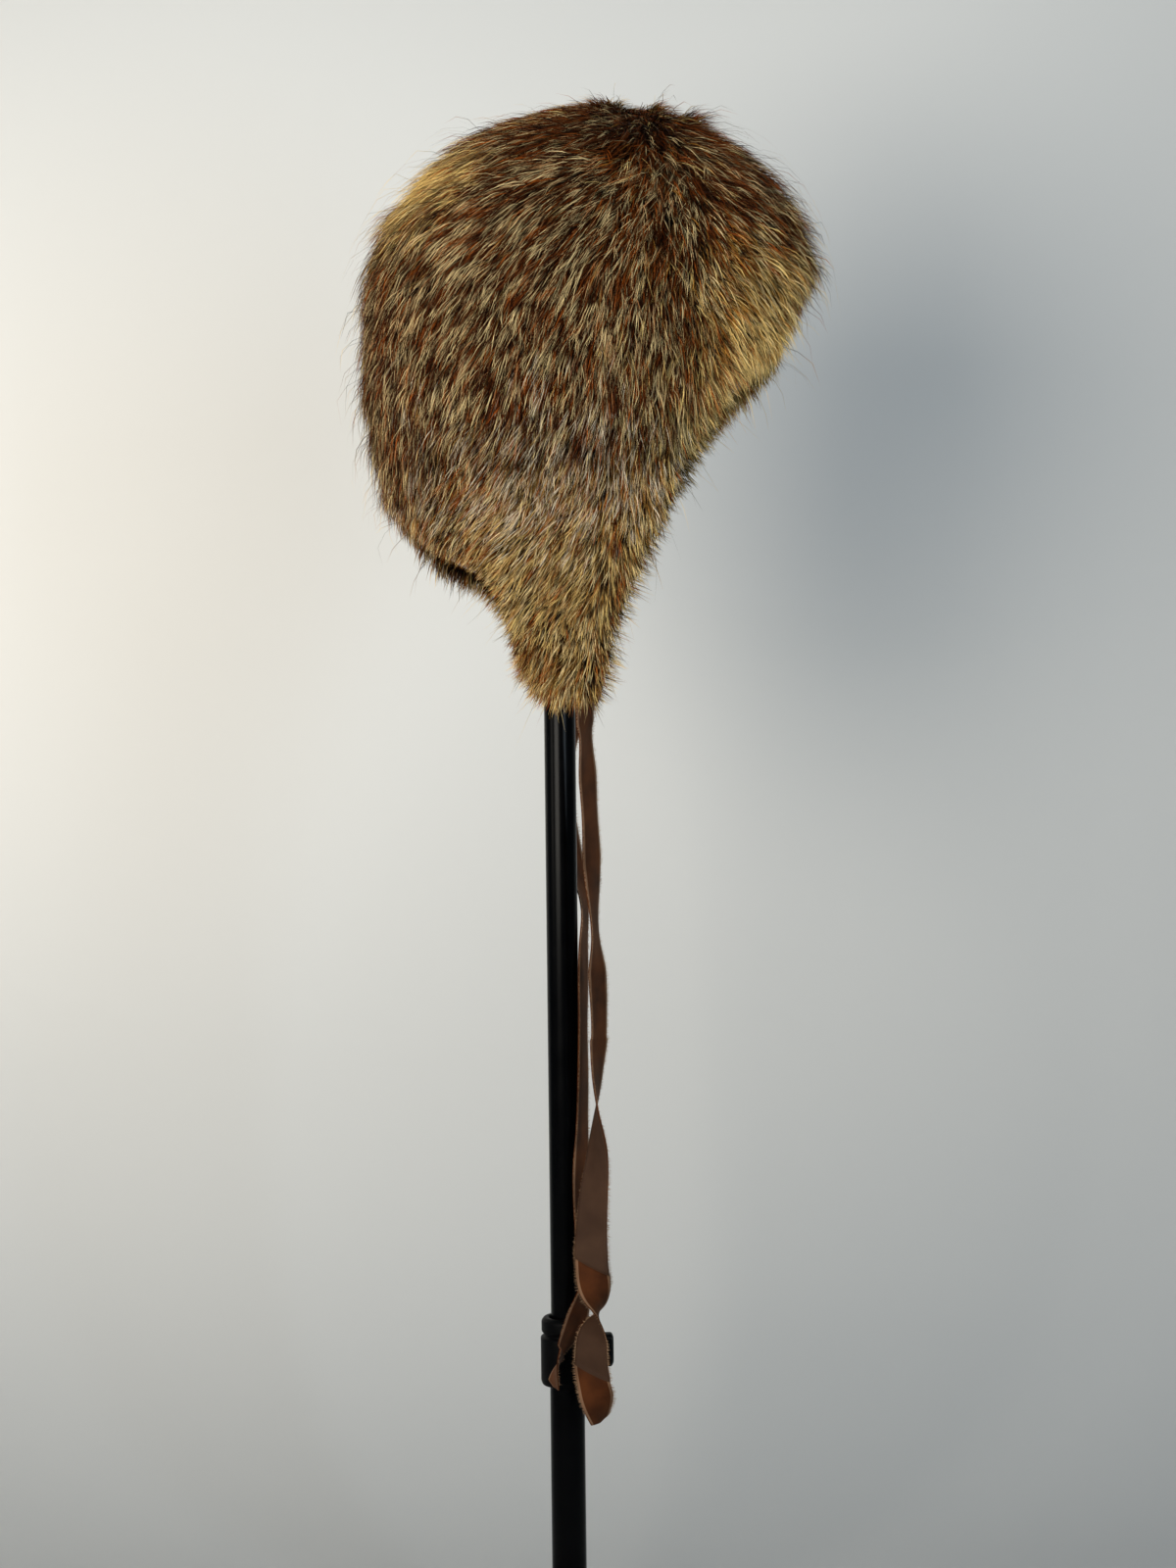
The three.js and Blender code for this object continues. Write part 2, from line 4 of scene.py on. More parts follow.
import bpy
import numpy as np
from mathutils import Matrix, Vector


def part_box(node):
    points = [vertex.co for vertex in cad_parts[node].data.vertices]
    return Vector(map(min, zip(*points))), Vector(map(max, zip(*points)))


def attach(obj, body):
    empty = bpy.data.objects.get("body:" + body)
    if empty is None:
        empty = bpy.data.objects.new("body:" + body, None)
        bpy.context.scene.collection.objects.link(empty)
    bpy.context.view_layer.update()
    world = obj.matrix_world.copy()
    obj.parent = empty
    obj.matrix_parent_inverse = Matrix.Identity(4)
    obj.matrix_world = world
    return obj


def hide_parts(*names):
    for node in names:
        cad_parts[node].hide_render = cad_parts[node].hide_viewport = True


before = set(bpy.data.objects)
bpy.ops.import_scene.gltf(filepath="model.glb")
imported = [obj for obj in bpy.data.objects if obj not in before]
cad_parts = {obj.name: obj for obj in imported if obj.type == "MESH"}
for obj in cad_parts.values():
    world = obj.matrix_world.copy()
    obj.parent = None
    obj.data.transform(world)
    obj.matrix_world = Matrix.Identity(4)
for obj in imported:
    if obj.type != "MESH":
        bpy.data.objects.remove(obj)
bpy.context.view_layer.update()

bpy.ops.object.select_all(action="DESELECT")

# Fur panels
# A red-fox pelt on its hide, sewn from seven panels: front, two sides and back over the
# crown, and the two ear flaps and the nape below them. The fur is dense and combed down
# and back from a whorl at the top, with dark brown roots and many pale ends. The dark of the
# roots, the wool and the hide under the hairs is partly the fox's own dark underfur and
# partly painted shade deep in the fur.

MM = 0.001
QUARTER_TURN = math.pi / 2

# The skin side of the fur, in millimetres, as the hide is cut
CROWN_LEVEL = 745.0
CROWN_RISE = 109.5
CROWN_FULLNESS = 1.93
HAT_FORWARD = 16.0
APEX_FORWARD = 7.0
FRONT_REACH = 114.0
HALF_WIDTH = 88.0
FLAP_DROP = 197.0
SEAM_DROP = 83.0
LEVEL_LENGTH = CROWN_RISE * QUARTER_TURN
TOP_GAP = 3
PANEL_TOP = 1 - TOP_GAP / LEVEL_LENGTH
PLAN = {
    "drop": (0.0, 0.23, 0.48, 0.74, 1.0, 1.2),
    "half": (1.0, 0.966, 0.886, 0.773, 0.64, 0.54),
    "front": (1.0, 0.98, 0.86, 0.78, 0.745, 0.72),
    "back": (0.965, 0.965, 0.87, 0.8, 0.75, 0.73),
}
FREE_EDGE = {
    "side": (
        0, 12, 22, 30, 38, 49, 59, 68, 75, 81, 85,
        89, 97, 105, 112, 117, 122, 130, 145, 160, 180,
    ),
    "drop": (
        -0.1, -0.07, -0.01, 0.09, 0.14, 0.2, 0.36, 0.54, 0.665, 0.8, 0.93,
        1.02, 1.03, 1.02, 0.94, 0.81, 0.735, 0.685, 0.64, 0.565, 0.5,
    ),
}


def read_table(table, key, column, at):
    """Reads a column at any place along its key, on a smooth curve through the rows."""
    keys = np.array(table[key], float)
    values = np.array(table[column], float)
    rows = np.arange(len(keys))
    before = np.maximum(rows - 1, 0)
    after = np.minimum(rows + 1, len(keys) - 1)
    slope = (values[after] - values[before]) / (keys[after] - keys[before])
    low = np.clip(np.searchsorted(keys, at) - 1, 0, len(keys) - 2)
    span = keys[low + 1] - keys[low]
    share = np.clip((at - keys[low]) / span, 0, 1)
    lift = share ** 2 * (3 - 2 * share) * (values[low + 1] - values[low])
    lead = share * (1 - share) ** 2 * slope[low] * span
    trail = share ** 2 * (share - 1) * slope[low + 1] * span
    return values[low] + lift + lead + trail


def level_at(height):
    rise = np.clip((height - CROWN_LEVEL) / CROWN_RISE, 0, 1)
    above = np.arcsin(rise ** (CROWN_FULLNESS / 2)) / QUARTER_TURN
    return np.where(height > CROWN_LEVEL, above, (height - CROWN_LEVEL) / LEVEL_LENGTH)


def skin(side, level):
    """Points on the skin. side is degrees round from the front, the wearer's left positive."""
    swing = np.clip(level, 0, 1) * QUARTER_TURN
    spread = np.maximum(np.cos(swing), 0) ** (2 / CROWN_FULLNESS)
    rise = np.sin(swing) ** (2 / CROWN_FULLNESS)
    drop = -np.minimum(level, 0) * LEVEL_LENGTH / FLAP_DROP
    half = read_table(PLAN, "drop", "half", drop) * HALF_WIDTH
    front = read_table(PLAN, "drop", "front", drop) * FRONT_REACH
    back = read_table(PLAN, "drop", "back", drop) * FRONT_REACH
    ahead = np.cos(np.radians(side))
    reach = (front + back) / 2 + (front - back) / 2 * ahead
    centre = HAT_FORWARD + APEX_FORWARD * rise ** 2 * (3 - 2 * rise)
    x = centre + reach * spread * ahead
    y = half * spread * np.sin(np.radians(side))
    z = CROWN_LEVEL + CROWN_RISE * rise - drop * FLAP_DROP
    return np.stack(np.broadcast_arrays(x, y, z), -1)


def skin_normal(side, level):
    step = 0.02
    level = np.minimum(level, 0.995)
    around = skin(side + step, level) - skin(side - step, level)
    climb = skin(side, level + step / 10) - skin(side, level - step / 10)
    normal = np.cross(around, climb)
    return normal / np.linalg.norm(normal, axis=-1, keepdims=True)


def over_skin(side, level, depth):
    return skin(side, level) + skin_normal(side, level) * np.asarray(depth)[..., None]


def round_length(side, level):
    """Millimetres of skin for one degree round the head."""
    return np.linalg.norm(skin(side + 0.5, level) - skin(side - 0.5, level), axis=-1)


def wrapped(side):
    return np.where(side > 180, side - 360, side)


def edge_level(side):
    drop = read_table(FREE_EDGE, "side", "drop", np.abs(wrapped(side)))
    return level_at(CROWN_LEVEL - drop * FLAP_DROP)


SEAM_LEVEL = float(level_at(np.array(CROWN_LEVEL - SEAM_DROP)))
HALF_SEAM_LEVEL = 0.001


def fringe_top(side):
    return edge_level(side) + FRINGE_DEEP / LEVEL_LENGTH


def above_seam(side):
    return np.maximum(edge_level(side), SEAM_LEVEL + HALF_SEAM_LEVEL)


def panel_top(side):
    return np.full_like(side, PANEL_TOP)


def below_seam(side):
    return np.full_like(side, SEAM_LEVEL - HALF_SEAM_LEVEL)


# How the fur is combed, in degrees from straight down towards the back, by the level on the
# hat and by degrees round from the front
COMB_SIDES = (0, 22, 40, 54, 66, 80, 107, 130, 150, 180)
COMB = (
    (-1.10, (0, 0, 0, -4, -6, 4, 22, 30, 12, 0)),
    (-0.75, (0, 0, -4, -6, 2, 16, 40, 40, 12, 0)),
    (-0.45, (0, -8, -14, -12, 0, 10, 24, 22, 10, 0)),
    (-0.15, (0, -12, -28, -26, 0, 12, 20, 18, 12, 0)),
    (0.15, (0, -14, -36, -32, 4, 30, 36, 28, 18, 0)),
    (0.45, (0, -14, -36, -30, 12, 46, 50, 35, 20, 0)),
    (0.75, (0, -12, -30, -22, 20, 54, 60, 45, 20, 0)),
)


def comb_angle(side, level):
    sides = np.abs(wrapped(side))
    rows = np.array([np.interp(sides, COMB_SIDES, row) for _, row in COMB])
    levels = np.array([at for at, _ in COMB])
    place = np.interp(level, levels, np.arange(len(levels)))
    low = np.minimum(place.astype(int), len(levels) - 2)
    share = place - low
    index = np.arange(len(sides))
    return rows[low, index] * (1 - share) + rows[low + 1, index] * share


def ripple(points, size, phase):
    """A smooth wander from -1 to 1 over the pelt, about one swing for each size."""
    a, b, c = (points[..., k] / size * 2 * math.pi for k in range(3))
    first = np.sin(a * 0.8 + 1.3 * np.sin(b * 0.7 + phase) + phase)
    second = np.sin(c * 0.9 - 1.1 * np.sin(a * 0.6 - phase) + 2 * phase)
    third = np.sin(b * 1.1 + 0.9 * np.sin(c * 0.8 + phase) + 3 * phase)
    return (first + second + third) / 3


# Colours of the fur, as seen in plain daylight; the very dark root colour also stands
# for painted shade deep in the fur
FUR_COLOURS = {
    "root": (11, 6, 3),
    "chestnut": (162, 81, 24),
    "umber": (104, 51, 16),
    "tan": (166, 122, 64),
    "ochre": (184, 128, 54),
    "straw": (248, 210, 130),
    "cream": (255, 226, 164),
    "silver": (250, 232, 200),
}


def linear(colour):
    share = np.array(colour, float) / 255
    return np.where(share <= 0.04045, share / 12.92, ((share + 0.055) / 1.055) ** 2.4)


PAINT = {name: linear(colour) for name, colour in FUR_COLOURS.items()}

# Where the pelt's colour changes: how much of each colour is laid over the chestnut, at a
# place seen from the side (ahead and up, in millimetres) with its reach each way.
COLOUR_SPOTS = (
    ("umber", (40, 838), (66, 26), 0.95),
    ("umber", (72, 788), (15, 46), 0.75),
    ("umber", (104, 800), (22, 26), 0.6),
    ("straw", (118, 726), (26, 44), 0.95),
    ("straw", (84, 668), (30, 36), 0.95),
    ("ochre", (94, 745), (26, 34), 0.7),
    ("straw", (60, 620), (16, 30), 0.7),
    ("straw", (-67, 826), (27, 30), 1.0),
    ("umber", (-25, 850), (45, 14), 0.6),
    ("tan", (0, 600), (70, 48), 0.8),
    ("ochre", (8, 553), (22, 26), 0.6),
    ("tan", (-5, 655), (70, 22), 0.45),
    ("ochre", (52, 640), (24, 34), 0.55),
    ("ochre", (-70, 640), (26, 16), 0.4),
)
TIP_SPOTS = (
    ("silver", (2, 655), (62, 30), 0.9),
    ("straw", (104, 705), (36, 54), 0.9),
    ("straw", (-67, 826), (26, 30), 1.0),
    ("straw", (6, 590), (60, 52), 0.5),
)
# Where fewer hairs end pale, and where more do
DARK_SPOTS = (((50, 842), (72, 22), 1.3), ((74, 790), (14, 30), 0.6))
PALE_SPOTS = (
    ((2, 655), (70, 28), 1.0), ((102, 700), (30, 54), 1.2), ((0, 590), (60, 50), 0.8),
    ((-67, 826), (24, 28), 0.9),
)
BRIGHT_SPOTS = (
    ((106, 708), (30, 54), 2.8), ((-67, 826), (26, 30), 2.8), ((84, 800), (36, 40), 1.5),
    ((20, 850), (80, 24), 2.0),
)
BACK_BEGINS = -60
BACK_PATCH_AT = -34
BACK_PATCH_REACH = 44
TIP_COLOURS = ("cream", "silver", "straw")
BASE_COLOURS = ("chestnut", "umber", "tan", "ochre", "straw")
BRIGHTNESSES = (0.14, 0.46, 1.1)
TIP_SHARES = (0.0, 0.25, 0.7, 1.0)
# Pale fur is pale nearly down to the skin
ROOTS_SHOWING = {"straw": 0.6, "tan": 0.9}
TONE_COUNT = len(BASE_COLOURS) * len(BRIGHTNESSES) * len(TIP_COLOURS) * len(TIP_SHARES)
MAP_CELLS = 20
SHELL_ROWS = 2


def soft_spot(points, at, reach):
    """How far a place lies in a patch, 1 to 0. A patch on the back lies to the wearer's right."""
    away = ((points[:, 0] - at[0]) / reach[0]) ** 2 + ((points[:, 2] - at[1]) / reach[1]) ** 2
    if at[0] < BACK_BEGINS:
        away += ((points[:, 1] - BACK_PATCH_AT) / BACK_PATCH_REACH) ** 2
    return np.exp(-away * (1 + 0.45 * ripple(points, 42, 1.1)))


def pick(rng, weights):
    """One column for each row, by the rows' weights."""
    total = np.cumsum(weights, axis=1)
    draw = rng.random(len(weights)) * total[:, -1]
    return (draw[:, None] > total).sum(axis=1).clip(0, weights.shape[1] - 1)


def pick_tones(rng, places, owner, look):
    """A tone for each strand. A clump's hairs share its base colour and how pale it ends."""
    bases = np.zeros((len(places), len(BASE_COLOURS)))
    bases[:, 0] = 1.0
    for colour, at, reach, share in COLOUR_SPOTS:
        cover = share * soft_spot(places, at, reach)
        bases *= 1 - cover[:, None]
        bases[:, BASE_COLOURS.index(colour)] += cover
    bases = np.maximum(bases, 0.02)
    tips = np.zeros((len(places), len(TIP_COLOURS)))
    tips[:, 0] = 0.6
    for colour, at, reach, share in TIP_SPOTS:
        tips[:, TIP_COLOURS.index(colour)] += 1.6 * share * soft_spot(places, at, reach)
    pale = look["pale"] + 0.8 * ripple(places, 23, 4.2)
    for at, reach, share in DARK_SPOTS:
        pale -= share * 1.3 * soft_spot(places, at, reach)
    for at, reach, share in PALE_SPOTS:
        pale += share * soft_spot(places, at, reach)
    light = look["bright"] + 0.45 * ripple(places, 34, 1.7)
    for at, reach, share in BRIGHT_SPOTS:
        light += share * soft_spot(places, at, reach)
    clumps, count = len(places), len(owner)
    pale = pale + 2.4 * rng.normal(size=clumps)
    light = light + 1.0 * rng.normal(size=clumps)
    base = pick(rng, bases)
    tip = pick(rng, tips)
    stray = rng.random(count) < look["mixed"]
    base = np.where(stray, pick(rng, bases[owner]), base[owner])
    spread = 0.45 + look["mixed"]
    pale = np.clip(np.rint(pale[owner] + spread * rng.normal(size=count)), 0, len(TIP_SHARES) - 1)
    light = np.rint(light[owner] + spread * rng.normal(size=count))
    light = np.clip(light, 0, len(BRIGHTNESSES) - 1)
    tone = (base * len(BRIGHTNESSES) + light.astype(int)) * len(TIP_COLOURS) + tip[owner]
    return tone * len(TIP_SHARES) + pale.astype(int)


def tone_colours(band):
    """The colour of every tone at the stations of a strand. band says, at each station, how
    much of the dark root still shows and how much of the tip's colour does. The dark root
    colour is partly the hair's own and partly painted shade deep in the fur."""
    colours = []
    for base, bright, tip, share in product(BASE_COLOURS, BRIGHTNESSES, TIP_COLOURS, TIP_SHARES):
        line = []
        for rooted, tipped in band:
            rooted = rooted * ROOTS_SHOWING.get(base, 1.0)
            body = PAINT[base] * bright
            body = body * (1 - rooted) + PAINT["root"] * rooted
            cover = tipped * share
            line.append(body * (1 - cover) + PAINT[tip] * cover)
        colours.append(line)
    return np.clip(np.array(colours), 0, 1)


# Guard hairs are dark at the root, and many end pale; the dark root band is partly the
# hair's own colour and partly painted shade deep in the fur. Wool is the short, wide fur under
# them.
GUARD = {
    "stations": (0.0, 0.4, 0.65, 1.0),
    "band": ((1.0, 0.0), (0.95, 0.0), (0.15, 0.75), (0.0, 1.0)),
    "widths": (0.8, 1.0, 0.85),
    "width": 0.34,
    "first_cell": 0,
}
# The wool stays dark almost to its tips, partly its own colour and partly painted shade
WOOL = {
    "stations": (0.0, 0.5, 1.0),
    "band": ((1.0, 0.0), (1.0, 0.0), (0.45, 0.0)),
    "widths": (0.9, 1.0),
    "width": 0.8,
    "first_cell": TONE_COUNT,
}


# Steps that spread any number of points evenly over a square
STEP_ROUND, STEP_UP = 0.7548776662, 0.5698402910


def scatter_roots(rng, span, density):
    """Roots spread evenly over a panel, as degrees round and level."""
    low, high = span["from"], span["to"]
    sides = np.linspace(low, high, 60)
    bottom = span["bottom"](sides).min()
    top = span["top"](sides).max()
    widest = round_length(sides, np.zeros_like(sides)).max()
    area = (high - low) * widest * (top - bottom) * LEVEL_LENGTH
    count = int(area * density)
    order = np.arange(count)
    side = low + (high - low) * ((0.5 + order * STEP_ROUND) % 1)
    level = bottom + (top - bottom) * ((0.5 + order * STEP_UP) % 1)
    keep = rng.random(count) < round_length(side, level) / widest
    keep &= (level > SEAM_LEVEL) == (span["side_of_seam"] > 0)
    keep &= level > span["bottom"](side)
    keep &= level < span["top"](side)
    return side[keep], level[keep]


def edge_distance(side, level):
    """Millimetres from the free edge, square to it, and the edge's own outward direction."""
    step = 1.0
    here = edge_level(side)
    slope = (edge_level(side + step) - edge_level(side - step)) * LEVEL_LENGTH
    slope = slope / (2 * step * round_length(side, here))
    return (level - here) * LEVEL_LENGTH / np.sqrt(1 + slope ** 2), np.degrees(np.arctan(slope))


def smooth(low, high, value):
    share = np.clip((value - low) / (high - low), 0, 1)
    return share * share * (3 - 2 * share)


# Tufts that stand out of the fur's outline: a place seen from the side (ahead and up), its
# reach, and how much longer and how much higher the fur stands there
TUFTS = (
    ((26, 858), (64, 18), -0.2, -0.75),
    ((29, 860), (7, 22), 0.4, 1.5),
    ((51, 852), (5, 18), 0.4, 1.5),
    ((67, 846), (6, 16), 0.3, 1.2),
    ((-40, 846), (8, 10), 0.3, 0.8),
    ((-62, 832), (12, 10), 0.35, 0.9),
    ((-82, 806), (10, 12), 0.35, 0.8),
    ((-106, 740), (20, 50), -0.1, -0.35),
    ((118, 785), (24, 36), 0.2, 0.7),
    ((92, 686), (30, 34), 0.2, -0.2),
    ((40, 612), (14, 50), 0.2, 0.3),
)


# On the wearer's right the neck's edge is trimmed, and hairs end this far past it
TRIMMED_PAST = 4.5
TRIMMED_FROM, TRIMMED_TO = 104, 114
UNTRIMMED = 60
# How far the longest hair's tip stands off the skin
HIGHEST_HAIR = 27.0
# The parting, where the hairs lie crossed
PARTING_AT = (58, 815)
PARTING_REACH = (30, 44)
CROSSED_BY = 26
# How far the comb wanders over the pelt and from clump to clump, in degrees
COMB_WANDER, COMB_SCATTER = 13, 9
# How near the free edge the hairs turn with it, and how deep in the fur its colour is read
EDGE_REACH = 16
TONE_DEPTH = 12.0


def grow(rng, span, clump_density, per_clump, kind, look):
    """Strands in clumps over a panel. Returns points by strand and station, normals, tones."""
    clump_side, clump_level = scatter_roots(rng, span, clump_density)
    clumps = len(clump_side)
    where = skin(clump_side, clump_level)
    outward = np.sign(wrapped(clump_side))
    outward[outward == 0] = 1
    distance, edge_turn = edge_distance(clump_side, clump_level)
    edge_turn = edge_turn * outward
    near_edge = 1 - smooth(0, EDGE_REACH, distance)
    angle = comb_angle(clump_side, clump_level)
    angle += COMB_WANDER * ripple(where, 38, 0.4) + COMB_SCATTER * rng.normal(size=clumps)
    crossed = CROSSED_BY * soft_spot(where, PARTING_AT, PARTING_REACH)
    angle += crossed * rng.normal(size=clumps)
    angle += look["edge_flow"] * near_edge * (np.clip(edge_turn, -70, 70) - angle)
    reach = look["length"] * (1 + 0.12 * ripple(where, 45, 2.9) + 0.12 * rng.normal(size=clumps))
    reach *= 1 - np.where(outward < 0, *look["edge_short"]) * near_edge
    uneven = 1 + 0.25 * ripple(where, 26, 5.1) + 0.25 * rng.normal(size=clumps)
    rise = reach * look["lift"] * uneven
    rise *= 1 - 0.35 * near_edge
    flat = np.full(clumps, look["run"])
    for at, spread, longer, higher in TUFTS:
        share = soft_spot(where, at, spread)
        reach *= 1 + longer * share
        rise *= 1 + higher * share
        flat *= 1 - 0.45 * max(higher, 0) * share
    trimmed = smooth(TRIMMED_FROM, TRIMMED_TO, -wrapped(clump_side))
    longest = (np.maximum(distance, 0) + TRIMMED_PAST) * trimmed + UNTRIMMED * (1 - trimmed)
    reach = np.minimum(reach, longest)

    owner = np.repeat(np.arange(clumps), per_clump)
    count = len(owner)
    spread = look["clump"] * np.sqrt(rng.random(count))
    bearing = 2 * math.pi * rng.random(count)
    off_round, off_down = spread * np.cos(bearing), spread * np.sin(bearing)
    u = np.array(kind["stations"])[None, :]
    long = (reach[owner] * (1 + 0.14 * rng.normal(size=count)))[:, None]
    tall = (rise[owner] * (1 + 0.22 * rng.normal(size=count)))[:, None]
    tall = np.maximum(tall, 0.8)
    run = long * flat[owner][:, None] * (0.62 * u + 0.38 * u ** 2)
    height = tall * (1 - (1 - u) ** 1.7)
    bend = np.radians(angle[owner] + 5 * rng.normal(size=count))[:, None]
    phase = rng.random((count, 1)) * 2
    sway = look["wave"] * np.sin(math.pi * (1.1 * u + phase)) * rng.random((count, 1))
    close = 1 - look["pull"] * u ** 1.3
    back = run * np.sin(bend) + sway * np.cos(bend) + off_round[:, None] * close
    down = run * np.cos(bend) - sway * np.sin(bend) + off_down[:, None] * close
    root_side = clump_side[owner][:, None]
    root_level = clump_level[owner][:, None]
    level = np.minimum(root_level - down / LEVEL_LENGTH, 0.992)
    scale = np.maximum(round_length(root_side, np.minimum((root_level + level) / 2, 0.97)), 0.12)
    turn = np.clip(outward[owner][:, None] * back / scale, -70, 70)
    side = root_side + turn
    past_edge = np.maximum(edge_level(side) - level, 0) * LEVEL_LENGTH
    depth = look["root_depth"] + height - look["curl"] * past_edge ** 1.5 / 6
    depth += look["jitter"] * rng.normal(size=(count, 1))
    depth = np.clip(depth, 0.6 + 0.4 * rng.random((count, 1)), HIGHEST_HAIR)
    points = over_skin(side, level, depth)
    normals = skin_normal(side, level)
    read_at = over_skin(clump_side, clump_level, np.full(clumps, TONE_DEPTH))
    return points, normals, pick_tones(rng, read_at, owner, look)


def ribbons(rng, points, normals, tones, kind):
    """Each strand as a tapered ribbon with a pointed tip: vertices, faces, map and colours."""
    count, stations, _ = points.shape
    tangent = np.gradient(points, axis=1)
    tangent /= np.maximum(np.linalg.norm(tangent, axis=-1, keepdims=True), 1e-9)
    across = np.cross(tangent, normals)
    across /= np.maximum(np.linalg.norm(across, axis=-1, keepdims=True), 1e-9)
    up = np.cross(across, tangent)
    roll = np.radians(rng.uniform(-55, 55, (count, 1, 1)))
    across = across * np.cos(roll) + up * np.sin(roll)
    half = np.array(kind["widths"])[None, :, None] * kind["width"] / 2
    half = half * rng.uniform(0.7, 1.3, (count, 1, 1))
    pairs = stations - 1
    each = 2 * pairs + 1
    first = np.arange(count)[:, None] * each
    faces = []
    for k in range(pairs - 1):
        a = 2 * k
        faces.append([a, a + 1, a + 3])
        faces.append([a, a + 3, a + 2])
    faces.append([each - 3, each - 2, each - 1])
    faces = (first[:, :, None] + np.array(faces)[None]).reshape(-1, 3)

    cell = kind["first_cell"] + tones
    cell_x, cell_y = cell % MAP_CELLS, cell // MAP_CELLS
    along = np.array(kind["stations"])
    table = tone_colours(kind["band"])[tones]
    u, v = np.empty((2, count, each))
    vertices, colours = np.empty((2, count, each, 3))
    for edge, sign, cell_side in ((0, -1, 0.12), (1, 1, 0.88)):
        vertices[:, edge:-1:2] = points[:, :-1] + sign * (across[:, :-1] * half)
        u[:, edge:-1:2] = (cell_x[:, None] + cell_side) / MAP_CELLS
        v[:, edge:-1:2] = (cell_y[:, None] + 0.1 + 0.8 * along[None, :-1]) / MAP_CELLS
        colours[:, edge:-1:2] = table[:, :-1]
    vertices[:, -1] = points[:, -1]
    u[:, -1] = (cell_x + 0.5) / MAP_CELLS
    v[:, -1] = (cell_y + 0.9) / MAP_CELLS
    colours[:, -1] = table[:, -1]
    spots = np.stack([u, v], -1)
    return vertices.reshape(-1, 3), faces, spots.reshape(-1, 2), colours.reshape(-1, 3)


def wall(span, inner_depth, outer_depth, cell, lumps):
    """A closed wall over a patch of the skin. Returns vertices, faces and map."""
    middle = np.array([(span["from"] + span["to"]) / 2])
    sides = np.linspace(span["from"], span["to"], 41)
    tall = (span["top"](sides) - span["bottom"](sides)).max() * LEVEL_LENGTH
    unit = float(round_length(middle, np.minimum(span["bottom"](middle), 0))[0])
    columns = max(int((span["to"] - span["from"]) * unit / cell), 8)
    rows = max(int(tall / cell), 6)
    share = np.linspace(0, 1, columns + 1)[:, None]
    rise = np.linspace(0, 1, rows + 1)[None, :]
    side = span["from"] + (span["to"] - span["from"]) * share + np.zeros_like(rise)
    flat = side[:, 0]
    level = span["bottom"](flat)[:, None] * (1 - rise) + span["top"](flat)[:, None] * rise
    if not span.get("closed"):
        turn = SEAM_GAP / 2 / np.maximum(round_length(side, level), 0.02)
        side[0] += turn[0]
        side[-1] -= turn[-1]
    place = skin(side, level)
    uneven = lumps * (0.6 * ripple(place, 17, 0.9) + 0.4 * ripple(place, 9, 3.3))
    inner = over_skin(side, level, inner_depth + uneven * (inner_depth < 0))
    outer = over_skin(side, level, outer_depth + uneven * (inner_depth > 0))
    vertices = np.concatenate([inner.reshape(-1, 3), outer.reshape(-1, 3)])
    number = np.arange((columns + 1) * (rows + 1)).reshape(columns + 1, rows + 1)
    upper = number + number.size

    def quads(a, b, c, d):
        a, b, c, d = (np.ravel(k) for k in (a, b, c, d))
        return np.concatenate([np.stack([a, b, c], 1), np.stack([a, c, d], 1)])

    faces = [
        quads(upper[:-1, :-1], upper[1:, :-1], upper[1:, 1:], upper[:-1, 1:]),
        quads(number[:-1, :-1], number[:-1, 1:], number[1:, 1:], number[1:, :-1]),
        quads(number[:-1, 0], number[1:, 0], upper[1:, 0], upper[:-1, 0]),
        quads(upper[:-1, -1], upper[1:, -1], number[1:, -1], number[:-1, -1]),
    ]
    if not span.get("closed"):
        faces.append(quads(number[0, :-1], upper[0, :-1], upper[0, 1:], number[0, 1:]))
        faces.append(quads(upper[-1, :-1], number[-1, :-1], number[-1, 1:], upper[-1, 1:]))
    u = np.broadcast_to(share, side.shape)
    v = np.broadcast_to(rise, side.shape)
    inner_map = np.stack([0.02 + 0.46 * u, 0.06 + 0.88 * v], -1)
    outer_map = np.stack([0.52 + 0.46 * u, 0.06 + 0.88 * v], -1)
    spots = np.concatenate([inner_map.reshape(-1, 2), outer_map.reshape(-1, 2)])
    return vertices, np.concatenate(faces), spots


SEAM_GAP = 0.35
HIDE_INNER = 1.4
HIDE_OUTER = 5.4
HIDE_CELL = 5.0
HIDE_LUMPS = 1.4


def hide(span):
    """The hide and the felted thick of the fur under the hairs, dark: partly the fur's own dark
    underfur and partly painted shade deep in the fur.
    """
    vertices, faces, spots = wall(span, HIDE_INNER, HIDE_OUTER, HIDE_CELL, HIDE_LUMPS)
    strip = SHELL_ROWS / MAP_CELLS
    spots[:, 1] = 1 - strip + strip * spots[:, 1]
    shade = 0.75 + 0.35 * ripple(vertices, 14, 2.2)[:, None]
    brow = 0.55 * soft_spot(vertices, (100, 690), (40, 60))[:, None]
    colours = (PAINT["root"] * 0.85 + PAINT["chestnut"] * 0.15)[None, :] * (1 - brow)
    colours = (colours + PAINT["straw"][None, :] * brow) * shade
    return vertices, faces, spots, colours


def new_material(name, values):
    """A material with these values on its shader, and its nodes, links and shader."""
    material = bpy.data.materials.new(name)
    material.use_nodes = True
    shader = material.node_tree.nodes["Principled BSDF"]
    for key, value in values.items():
        shader.inputs[key].default_value = value
    return material, material.node_tree.nodes, material.node_tree.links, shader


def add_object(name, data):
    item = bpy.data.objects.new(name, data)
    bpy.context.scene.collection.objects.link(item)
    return item


def fur_material():
    """Fur takes its colour from the strands, with a soft gloss along each hair."""
    values = {"Roughness": 0.6, "Specular IOR Level": 0.08}
    material, nodes, links, shader = new_material("fox_fur", values)
    colour = nodes.new("ShaderNodeAttribute")
    colour.attribute_name = "fur"
    links.new(colour.outputs["Color"], shader.inputs["Base Color"])
    return material


